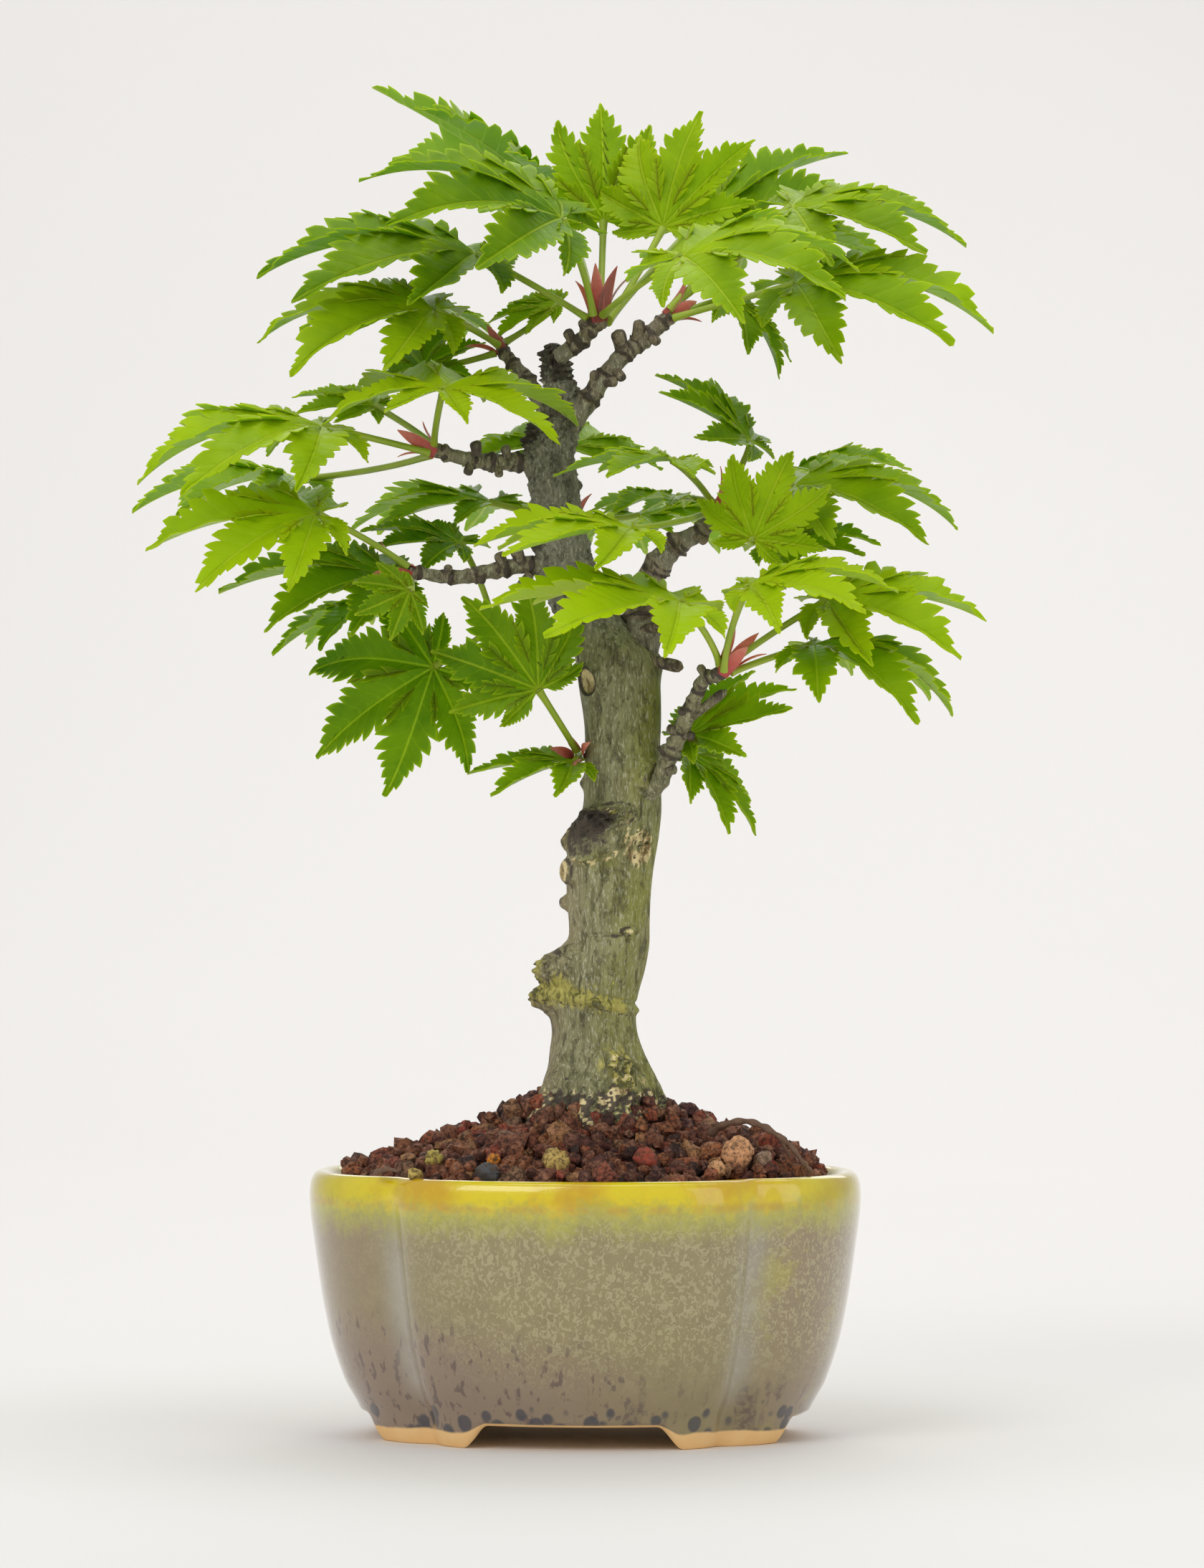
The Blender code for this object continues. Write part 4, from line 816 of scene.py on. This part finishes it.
# The point each shoot ends at, then its leaves: the palm, the middle lobe's heading and rise, the blade's roll,
# the middle lobe's length, how far the lobes arch, how wide they fan, and how bright and yellow the leaf is:
# painted light and shade, from the shaded green towards the lit one.
LEAVES = {
    "crown": ((3, -7, 241.5), (
        (-6, 45, 270.5, 180, 39, 8, 51, 14, 0.8, 0.45), (-5, -18, 262.5, 182, 36, -22, 49, 42, 1, 0.25),
        (-24, 2, 256.5, 182, 16, -14, 51, 36, 1, 0.28), (4, 16, 265, 90, 80, 0, 29, 8, 0.8, 0.55),
        (17, 4, 262.5, 50, 72, 16, 30, 10, 0.85, 0.65), (24.5, 34, 265.5, 20, 36, 14, 42, 12, 0.95, 0.35),
        (20.5, -47, 252, 8, 26, 16, 45, 52, 1.1, 0.62),
    )),
    "upper_right": ((18.5, 0, 243), (
        (45, 0, 266.5, -3, 8, 20, 41, 32, 1, 0.55), (45.5, -10, 249, -6, 12, 18, 48, 45, 1, 0.65),
        (32.5, 13, 247.5, -25, -40, 0, 22, 25, 1, 0.35), (38.5, 26, 260.5, 30, 20, 0, 36, 50, 1, 0.45),
    )),
    "upper_left": ((-18.5, 8.5, 236.5), (
        (-33, -4, 244, 184, 14, -20, 44, 45, 1, 0.7), (-35.5, 12, 232.5, 60, 50, 0, 18, 30, 1.2, 0.2),
        (-6, 14, 246.5, 168, -4, -30, 18, 20, 0.8, 0.65), (-32, 44, 247.5, 150, 20, 0, 36, 50, 1, 0.3),
    )),
    "middle_left": ((-33, -5.5, 213.5), (
        (-56.5, -14, 218, 193, 8, -12, 46, 46, 1, 0.75), (-30, -26, 225.5, 75, 18, 6, 40, 38, 1.25, 0.9),
        (-46.5, 20, 224.5, 168, 20, -20, 20, 20, 1, 0.5), (-63.5, 32, 209, 184, 10, -5, 40, 40, 1, 0.45),
    )),
    "lower_left": ((-38, -8.5, 187), (
        (-57.5, -20, 199, 187, 4, -25, 39, 34, 1, 0.85), (-42, 0, 186.5, 183, 12, -20, 39, 36, 1, 0.35),
        (-43, 37, 182.5, 188, -8, 0, 31, 35, 1, 0.35), (-37.5, -22, 182.5, 215, -20, -60, 14, 20, 1, 0.25),
    )),
    "rear_left": ((-20.5, 4.5, 175.5), (
        (-33, 2, 166.5, 180, -30, -68, 34, 20, 1.1, 0.2), (-27.5, 13, 194, 168, 20, -15, 24, 25, 1, 0.2),
    )),
    "trunk_left": ((-1.8, -1, 147.5), (
        (-10, -16.5, 161.5, 180, 55, -88, 28, 16, 0.85, 0.2), (-2.5, -3, 146, 183, 4, -14, 25, 24, 1.05, 0.45),
    )),
    "lower_right": ((30, -25, 165.8), (
        (20, -44, 179.5, 184, 12, -12, 43, 24, 1.1, 1.25), (35, -40, 183, -5, 20, 12, 33, 38, 1, 1.05),
        (52, -22, 180.5, -5, 12, 20, 38, 36, 1, 0.95), (49, -20, 171, -12, 3, 10, 37, 55, 1, 0.6),
    )),
    "second": ((29, -3.2, 200.5), (
        (36, 4, 216, 170, 47, -10, 28, 14, 1, 0.3), (18.5, -20, 210.5, 183, 5, -6, 27, 16, 1.3, 0.65),
        (36, -24, 193.5, 30, 66, 50, 22, 8, 1, 0.7), (45.5, -3, 206, -5, 12, 18, 40, 46, 1, 0.6),
        (45, 38, 210, 12, 22, -8, 31, 30, 1, 0.5), (40, 0, 193.5, 0, 18, 15, 26, 30, 1, 0.45),
        (20, 8, 204, 190, 5, 0, 22, 30, 1, 0.35), (10, -40, 195, 184, 8, -10, 36, 26, 1, 0.95),
    )),
    "low_knot": ((21.5, -9.5, 152), (
        (22.5, -6, 152, 5, 35, 25, 27, 14, 0.9, 0.6), (22.5, -1.5, 148, -2, -38, 20, 24, 18, 0.88, 0.5),
    )),
    "rear": ((-3, 30.5, 200), (
        (-5, 38, 216.5, 95, 25, 0, 36, 50, 1, 0.5), (12, 38, 201, 55, 15, 0, 36, 50, 1, 0.5),
        (-21.5, 36, 204, 130, 15, 0, 40, 46, 1, 0.5),
    )),
}


def leaf_axes(heading, rise, roll):
    """Unit vectors along the middle lobe, to its left, and up from the blade."""
    turn, climb, tip = np.radians([heading, rise, roll])
    along = np.array([np.cos(climb) * np.cos(turn), np.cos(climb) * np.sin(turn), np.sin(climb)])
    level_way = np.array([-np.sin(turn), np.cos(turn), 0.0])
    side = level_way * np.cos(tip) + np.cross(along, level_way) * np.sin(tip)
    return along, side, np.cross(along, side)


def half_lobe_edge(reach, sinus, half_step, rng):
    """The edge of half a lobe, as distance along the midrib and distance out from it, row by row. The base rows
    run out along the line it shares with its neighbour. The rest swell to the widest place and narrow to the
    tip, as (1 - t)^1.3 times (base width + swell t), and step outward and onward along each tooth, then back."""
    base = np.linspace(0.9, sinus, BASE_ROWS, endpoint=False)
    steps = rng.uniform(0.5, 1.5, TEETH) * np.linspace(1.2, 0.75, TEETH)
    ends = np.concatenate([[0.0], np.cumsum(steps)]) / steps.sum() * 0.97
    t = (ends[:-1, None] + np.diff(ends)[:, None] * TOOTH_THROUGH).ravel()
    c, s = np.cos(half_step), np.sin(half_step)
    out = (1.0 - t) ** 1.3 * (sinus * s + 0.53 * reach * t)
    on = sinus * c + (reach - sinus * c) * t
    pitch = np.repeat(np.diff(ends), len(TOOTH_OUT)) * (reach - sinus * c)
    depth = TOOTH_DEPTH * pitch * np.clip(t / 0.10, 0.25, 1.0) * np.clip((1.0 - t) / 0.35, 0.10, 1.0)
    toothed_out = out + depth * np.tile(TOOTH_OUT, TEETH)
    toothed_on = on + pitch * TOOTH_HOOK * np.tile(TOOTH_ON, TEETH) * np.clip(t / 0.05, 0.0, 1.0)
    rib = np.concatenate([base * c, on]) - 0.92 * np.concatenate([base * s, out])
    return np.concatenate([base * c, toothed_on]), np.concatenate([base * s, toothed_out]), rib


def leaf_blade(length, arch, spread, rng):
    """The blade's points and faces, and what its material reads: the row, the share out from the midrib, and the
    distance from it. A point of the flat blade at distance d from the palm goes to the same heading at run
    sin(b d) / b and drop (1 - cos(b d)) / b, which bends the blade over a dome, and then up by the fold times its
    distance from the midrib, and by ripples near the toothed edge."""
    headings = np.clip(LOBE_HEADINGS * spread, -WIDEST_FAN, WIDEST_FAN)
    reaches = length * LOBE_SHARES * rng.uniform(0.93, 1.0, len(headings))
    gaps = np.diff(headings) / 2
    half_steps = np.concatenate([[gaps[0] * 0.85], gaps, [gaps[-1] * 0.85]])
    near_reach = np.minimum(np.append(reaches[0] * 0.9, reaches), np.append(reaches, reaches[-1] * 0.9))
    sinuses = near_reach * rng.uniform(0.17, 0.25, len(near_reach))
    rows = BASE_ROWS + TEETH * len(TOOTH_OUT)
    lobes, columns = len(headings), BLADE_COLUMNS
    bend = math.radians(arch) / length
    quads, fans = [], []
    rib_ids = np.arange(lobes * rows).reshape(lobes, rows)
    line_ids = rib_ids.size + np.arange((lobes + 1) * BASE_ROWS).reshape(lobes + 1, BASE_ROWS)
    own_ids = rib_ids.size + line_ids.size
    own_count = rows * (columns - 1) + (rows - BASE_ROWS)
    tip_ids = own_ids + 2 * lobes * own_count + np.arange(lobes)
    centre_id = tip_ids[-1] + 1
    xyz, info = np.zeros((2, centre_id + 1, 3))
    share = np.linspace(0.0, 1.0, columns + 1) ** 0.85
    shares = np.tile(share, (rows, 1))
    tooth_rows = np.append(np.repeat(np.arange(rows) / len(TOOTH_OUT), columns + 1), rows / len(TOOTH_OUT))
    for i in range(lobes):
        curl = rng.uniform(-0.10, 0.10) - 0.05 * np.sign(headings[i])
        droop = rng.uniform(0.0, 0.34)
        lean = rng.uniform(-0.16, 0.16)
        fold = rng.uniform(0.40, 0.66)
        wave = rng.uniform(0.0, 2 * np.pi, 2)
        for half, turn in enumerate((-1.0, 1.0)):
            line = i + half
            on, out, rib = half_lobe_edge(reaches[i], sinuses[line], half_steps[line], rng)
            a = np.append(rib[:, None] + (on - rib)[:, None] * share**1.12, reaches[i])
            w = np.append(out[:, None] * share, 0.0)
            distance = np.hypot(a, w)
            free = np.clip((distance - sinuses[line]) / (reaches[i] - sinuses[line]), 0.0, 1.2)
            free[-1] = 1.0
            ripple = np.sin(a / length * 26.0 + wave[half]) * 0.022 * length * free * np.append(shares**1.6, 0.0)
            angle = headings[i] + turn * np.arctan2(w, a) + curl * free**2
            lift = w * (SHARED_FOLD + (fold - SHARED_FOLD) * np.clip(free * 2.0, 0.0, 1.0)) + ripple * 0.6
            lift = lift + lean * turn * w * free - droop * free**2 * reaches[i] * 0.35
            tilt = bend * distance
            run = np.sin(tilt) / bend + lift * np.sin(tilt)
            rise = (np.cos(tilt) - 1.0) / bend + lift * np.cos(tilt)
            own = own_ids + (2 * i + half) * own_count + np.arange(own_count)
            inner = own[: rows * (columns - 1)].reshape(rows, columns - 1)
            edge = np.concatenate([line_ids[line], own[rows * (columns - 1):]])
            grid = np.column_stack([rib_ids[i], inner, edge])
            ids = np.append(grid, tip_ids[i])
            xyz[ids] = np.stack([run * np.cos(angle), run * np.sin(angle), rise], axis=-1)
            info[ids] = np.stack([tooth_rows, np.append(shares, 0.0), w], axis=-1)
            if turn < 0:
                grid = grid[:, ::-1]
            quads.append(
                np.stack([grid[:-1, :-1], grid[1:, :-1], grid[1:, 1:], grid[:-1, 1:]], axis=-1).reshape(-1, 4))
            fans.append(np.column_stack([grid[-1, :-1], np.full(columns, tip_ids[i]), grid[-1, 1:]]))
            fans.append(np.column_stack([grid[0, 1:], np.full(columns, centre_id), grid[0, :-1]]))
    fans.append(np.array([[line_ids[0][0], line_ids[-1][0], centre_id]]))
    return xyz, info, np.concatenate(quads), np.concatenate(fans)


def thickened(points, quads, fans, thickness):
    """Closes a sheet into a thin solid: the same faces again, turned over and moved back along the normals, and
    a strip round the open edge."""
    corners = np.concatenate([fans[:, [0, 1, 2, 2]], quads])
    normal = np.cross(points[corners[:, 2]] - points[corners[:, 0]], points[corners[:, 3]] - points[corners[:, 1]])
    normal[: len(fans)] = np.cross(points[fans[:, 1]] - points[fans[:, 0]], points[fans[:, 2]] - points[fans[:, 0]])
    total = np.zeros_like(points)
    for column in range(4):
        np.add.at(total, corners[:, column], normal)
    total /= np.maximum(np.linalg.norm(total, axis=1, keepdims=True), 1e-9)
    count = len(points)
    starts = np.concatenate([quads.ravel(), fans.ravel()])
    stops = np.concatenate([np.roll(quads, -1, axis=1).ravel(), np.roll(fans, -1, axis=1).ravel()])
    open_edge = ~np.isin(starts * count + stops, stops * count + starts)
    a, b = starts[open_edge], stops[open_edge]
    edge_strip = np.column_stack([b, a, a + count, b + count])
    both = np.concatenate([points, points - total * thickness])
    return both, [quads, fans, quads[:, ::-1] + count, fans[:, ::-1] + count, edge_strip]


def unit(vector):
    """The vector made one long."""
    return vector / np.linalg.norm(vector)


def shoot_starts(tip, palms):
    """Where each stalk leaves the shoot: evenly round a ring at its tip, in the order that the palms lie."""
    ways = palms - tip
    ways = ways / np.linalg.norm(ways, axis=1, keepdims=True)
    axis = unit(ways.sum(axis=0))
    across = unit(np.cross(axis, (0.0, 0.0, 1.0) if abs(axis[2]) < 0.9 else (1.0, 0.0, 0.0)))
    other = np.cross(axis, across)
    angles = np.arctan2(ways @ other, ways @ across)
    count = len(palms)
    steps = np.empty(count)
    steps[np.argsort(angles)] = 2 * np.pi * np.arange(count) / count
    steps = (steps + np.arctan2(np.sin(angles - steps).sum(), np.cos(angles - steps).sum()))[:, None]
    ring = STALK_SPACING / 2 * max(1, 1 / math.sin(math.pi / count)) if count > 1 else 0.0
    return tip + (across * np.cos(steps) + other * np.sin(steps)) * ring


def curve_through(start, middle, end, t):
    """The curve start (1 - t)^2 + 2 middle t (1 - t) + end t^2, which leaves and arrives towards the middle."""
    return start * (1 - t) ** 2 + middle * 2 * t * (1 - t) + end * t**2


# The skin that both faces of a blade have: painted light and shade, from a shaded to a lit green as each leaf's
# tone says, broken by soft clouds of mottling; a paler edge, midribs, and side veins that run out to the teeth. It
# reads where a point lies on its lobe.
veined, given, gives = effect_group(
    "veined_skin", {"Lit": COLOUR, "Shaded": COLOUR, "Vein": COLOUR, "Rib Share": NUMBER, "Branch Share": NUMBER},
    {"Colour": COLOUR[0], "Roughness": NUMBER[0], "Height": NUMBER[0]})
lobe_row, lobe_share, from_rib = parts(mark(veined, "lobe", "Vector"))
rib = from_rib.span(0.12, 0.48, 1, 0)
past_vein = lobe_row + 0.25
off_vein = 0.5 - abs(past_vein.math("FRACT", past_vein) - 0.5)
side_vein = (off_vein / lobe_share.span(0, 1, 0.085, 0.02)).span(0.4, 1.2, 1, 0)
cloud = noise(veined, 90, 3, 0.55)
clouded = mark(veined, "tone") + (cloud + noise(veined, 30) - 1.0) * 0.8
bulge = off_vein.math("SINE", off_vein * math.pi)
feed(gives["Colour"], coated(
    clouded.mix(given["Shaded"], given["Lit"]), (lobe_share.span(0.80, 1.0, 0, 0.4), given["Lit"]),
    (side_vein * given["Branch Share"], given["Vein"]), (rib * given["Rib Share"], given["Vein"])))
feed(gives["Roughness"], noise(veined, 900, 2, 0.6).span(0.3, 0.7, 0.36, 0.52))
feed(gives["Height"], bulge * lobe_share.span(0, 0.2, 0, 0.45) - rib + cloud * 0.6)


def leaf_face(name, lit, shaded, vein, shares, strength):
    """One face of the blade: the veined skin in its own greens, painted lit and shaded, on a shader that lets light
    through.
    """
    finish, tree = new_material(name)
    skin = placed_group(tree, veined, {
        "Lit": lit, "Shaded": shaded, "Vein": vein, "Rib Share": shares[0], "Branch Share": shares[1]})
    dress(finish, {
        "Base Color": skin["Colour"], "Roughness": skin["Roughness"], "Subsurface Weight": 0.7,
        "Subsurface Radius": (0.9, 1.2, 0.12), "Subsurface Scale": 0.0012, "Specular IOR Level": 0.09,
    }, skin["Height"], 0.00035, strength)
    return finish


# Each face's lit and shaded greens are painted light and shade; the underside is paler in its own colour.
leaf_top = leaf_face(
    "leaf_top", (0.350, 0.500, 0.003), (0.055, 0.150, 0.002), (0.46, 0.58, 0.03), (0.42, 0.12), 0.6)
leaf_under = leaf_face(
    "leaf_under", (0.36, 0.50, 0.055), (0.15, 0.28, 0.035), (0.50, 0.60, 0.16), (0.6, 0.25), -0.5)
stalk_skin, tree = new_material("stalk_skin")
dress(stalk_skin, {"Base Color": noise(tree, 160).mix((0.24, 0.38, 0.02), (0.46, 0.58, 0.05)), "Roughness": 0.42,
                   "Subsurface Weight": 0.3, "Subsurface Scale": 0.001})

leaf_rng = np.random.default_rng(71)
stalk_t = np.linspace(0.0, 1.0, 15)[:, None]
for shoot, (tip, leaf_rows) in LEAVES.items():
    palms = np.array([leaf_row[:3] for leaf_row in leaf_rows], float)
    starts = shoot_starts(np.array(tip, float), palms)
    for number, (palm, start, leaf_row) in enumerate(zip(palms, starts, leaf_rows), 1):
        heading, rise, roll, length, arch, spread, lit_share = leaf_row[3:]
        along, side, up = leaf_axes(heading, rise, roll)
        flat, info, quads, fans = leaf_blade(length, arch, spread, leaf_rng)
        blade = palm + flat[:, :1] * along + flat[:, 1:2] * side + flat[:, 2:] * up
        skin, groups = thickened(blade, quads, fans, BLADE_THICKNESS)
        top = palm - along * 0.4
        middle = (top + start) / 2 - along * 0.10 * np.linalg.norm(top - start)
        radii = STALK_RADIUS * (1.0 + 0.35 * (2 * stalk_t - 1) ** 6)
        stalk, stalk_groups = swept(curve_through(top, middle, start, stalk_t), radii, side, STALK_SIDES)
        node = f"leaf_{shoot}_{number}"
        leaf = surface_object(
            f"maple_{node}", np.concatenate([skin, stalk]), groups + [group + len(skin) for group in stalk_groups],
            [leaf_top, leaf_under, stalk_skin], [0, 0, 1, 1, 0] + [2] * len(stalk_groups),
            lobe=np.concatenate([info, info, np.zeros(stalk.shape)]), tone=lit_share)
        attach(leaf, "root")
        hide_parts(node)

# Bud scales: when a bud opens, its long inner scales stay on as pink straps round the foot of the leaf stalks.
# They are soft and thin, broad at the foot and pointed, and bend outward as they dry. Brown ones are older.
# How many each shoot has, how long they are, and how brown.
BUD_SCALES = {
    "crown": (7, 15, 0.35), "upper_right": (3, 12.5, 0.4), "upper_left": (3, 8.5, 0.7), "middle_left": (4, 12.5, 0.05),
    "lower_left": (3, 13, 0.5), "rear_left": (2, 5.5, 0.5), "trunk_left": (4, 9, 0.05), "lower_right": (5, 16.5, 0),
    "second": (6, 12.5, 0.1), "low_knot": (2, 4.5, 0.4), "rear": (3, 8, 0.3),
}
SCALE_SIDES, SCALE_THICK = 12, 0.22
scale_skin, tree = new_material("bud_scales")
to_tip, dried, _ = parts(mark(tree, "scale", "Vector"))
streaks = noise(tree, 700)
dress(scale_skin, {
    "Base Color": coated(
        to_tip.mix((0.56, 0.055, 0.060), (0.84, 0.34, 0.24)), (streaks.span(0.4, 0.7, 0, 0.5), (0.62, 0.10, 0.07)),
        (dried, (0.20, 0.055, 0.035))),
    "Roughness": streaks.span(0.3, 0.7, 0.38, 0.55), "Subsurface Weight": 0.5,
    "Subsurface Radius": (1.2, 0.5, 0.4), "Subsurface Scale": 0.001})

scale_rng = np.random.default_rng(13)
turn = np.linspace(0.0, 2 * np.pi, SCALE_SIDES, endpoint=False)
t = np.linspace(0.0, 1.0, 14)[:, None]
scale_points, scale_groups, scale_marks = [], [], []
for shoot, (how_many, long, brown) in BUD_SCALES.items():
    tip, leaf_rows = LEAVES[shoot]
    ways = np.array([leaf_row[:3] for leaf_row in leaf_rows], float) - tip
    axis = unit((ways / np.linalg.norm(ways, axis=1, keepdims=True)).sum(axis=0) + (0.0, -0.2, 0.35))
    across = unit(np.cross(axis, (0.31, 0.90, 0.31)))
    other = np.cross(axis, across)
    first_turn = scale_rng.uniform(0.0, 2 * np.pi)
    for number in range(how_many):
        angle = first_turn + 2 * np.pi * (number + scale_rng.uniform(-0.2, 0.2)) / how_many
        outward = across * math.cos(angle) + other * math.sin(angle)
        reach = long * scale_rng.uniform(0.6, 1.0)
        splay = scale_rng.uniform(0.2, 0.75)
        start = np.array(tip) + outward * 1.3 - axis * 1.2
        middle = start + axis * reach * 0.55 + outward * reach * 0.06
        end = start + axis * reach * (1.0 - 0.35 * splay) + outward * reach * splay * 0.8
        wide = (0.55 + 0.075 * reach) * np.sin(np.pi * (0.25 + 0.73 * t))
        thick = SCALE_THICK * np.sqrt(np.clip(1.0 - t**6, 0.1, 1.0))
        radii = wide * thick / np.hypot(thick * np.cos(turn), wide * np.sin(turn))
        points, groups = swept(curve_through(start, middle, end, t), radii, outward, SCALE_SIDES)
        scale_groups += [group + len(points) * len(scale_marks) for group in groups]
        scale_points.append(points)
        shade = np.clip(scale_rng.normal(brown, 0.25), 0.0, 1.0)
        scale_marks.append(np.stack([t + 0 * turn, shade + 0 * t * turn, 0 * t * turn], axis=-1).reshape(-1, 3))
scales = surface_object(
    "bud_scales", np.concatenate(scale_points), scale_groups, [scale_skin], scale=np.concatenate(scale_marks))
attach(scales, "root")

# The studio: a seamless pale sheet that curves up behind, a camera level with the trunk, and broad soft lamps
# above, in front and behind. The sheet shows on its upper side only, and hides nothing from behind or below.
SHEET_HALF, SHEET_FRONT, SHEET_BACK, SHEET_CURVE, SHEET_TOP = 9000.0, -9000.0, 900.0, 900.0, 3200.0
turn = np.linspace(0.0, np.pi / 2, 24)
sheet_line = np.column_stack([
    np.concatenate([[SHEET_FRONT], SHEET_BACK + SHEET_CURVE * np.sin(turn), [SHEET_BACK + SHEET_CURVE]]),
    np.concatenate([[0.0], SHEET_CURVE * (1 - np.cos(turn)), [SHEET_TOP]])])
sheet_points = np.array([(side, *spot) for spot in sheet_line for side in (-SHEET_HALF, SHEET_HALF)])
ids = np.arange(len(sheet_points)).reshape(-1, 2)
sheet_quads = np.column_stack([ids[:-1], ids[1:, ::-1]])
paper, tree = new_material("white_sheet")
dress(paper, {"Base Color": noise(tree, 3).mix((0.815, 0.797, 0.778), (0.845, 0.827, 0.808)), "Roughness": 0.75})
one_sided = add_node(tree, "MixShader", {
    0: add_node(tree, "NewGeometry", {}, "Backfacing"), 1: Tint(tree, tree.nodes["Principled BSDF"].outputs[0]),
    2: add_node(tree, "BsdfTransparent", {})})
feed(tree.nodes["Material Output"].inputs["Surface"], one_sided)
sweep = surface_object("studio_sheet", sheet_points - pot_foot, [sheet_quads], [paper])

MIDDLE = Vector((0.0, 0.0, 0.17))
# Each lamp's place in metres, its width and height, and its power in watts.
LAMPS = {
    "key_lamp": ((-0.9, -1.3, 1.35), 1.1, 1.1, 11.0), "fill_lamp": ((1.5, -1.2, 0.7), 0.9, 1.4, 4.0),
    "top_lamp": ((0.1, 0.1, 1.6), 1.2, 1.2, 9.0), "back_lamp": ((0.2, 1.5, 1.1), 1.6, 0.9, 7.0),
}
scene = bpy.context.scene
for name, (spot, wide, tall, power) in LAMPS.items():
    data = bpy.data.lights.new(name, "AREA")
    data.shape = "RECTANGLE"
    data.size, data.size_y, data.energy = wide, tall, power
    lamp = bpy.data.objects.new(name, data)
    scene.collection.objects.link(lamp)
    lamp.location = spot
    lamp.rotation_euler = (MIDDLE - Vector(spot)).to_track_quat("-Z", "Y").to_euler()
scene.world = bpy.data.worlds.new("studio_air")
scene.world.use_nodes = True
air = scene.world.node_tree.nodes["Background"].inputs
feed(air["Color"], (1.0, 0.995, 0.985))
feed(air["Strength"], 0.50)
scene.view_settings.view_transform = "Standard"

CAMERA_HEIGHT, CAMERA_BACK, CAMERA_SIDE, FRAME_HEIGHT, SENSOR = 0.1412, 1.4, 0.0037, 0.3404, 36.0
view = bpy.data.cameras.new("camera")
view.sensor_fit, view.sensor_height, view.lens = "VERTICAL", SENSOR, SENSOR * CAMERA_BACK / FRAME_HEIGHT
scene.camera = bpy.data.objects.new("camera", view)
scene.collection.objects.link(scene.camera)
scene.camera.location = pot_foot[0] * 0.001 + CAMERA_SIDE, pot_foot[1] * 0.001 - CAMERA_BACK, CAMERA_HEIGHT
scene.camera.rotation_euler = math.radians(90.0), 0.0, 0.0
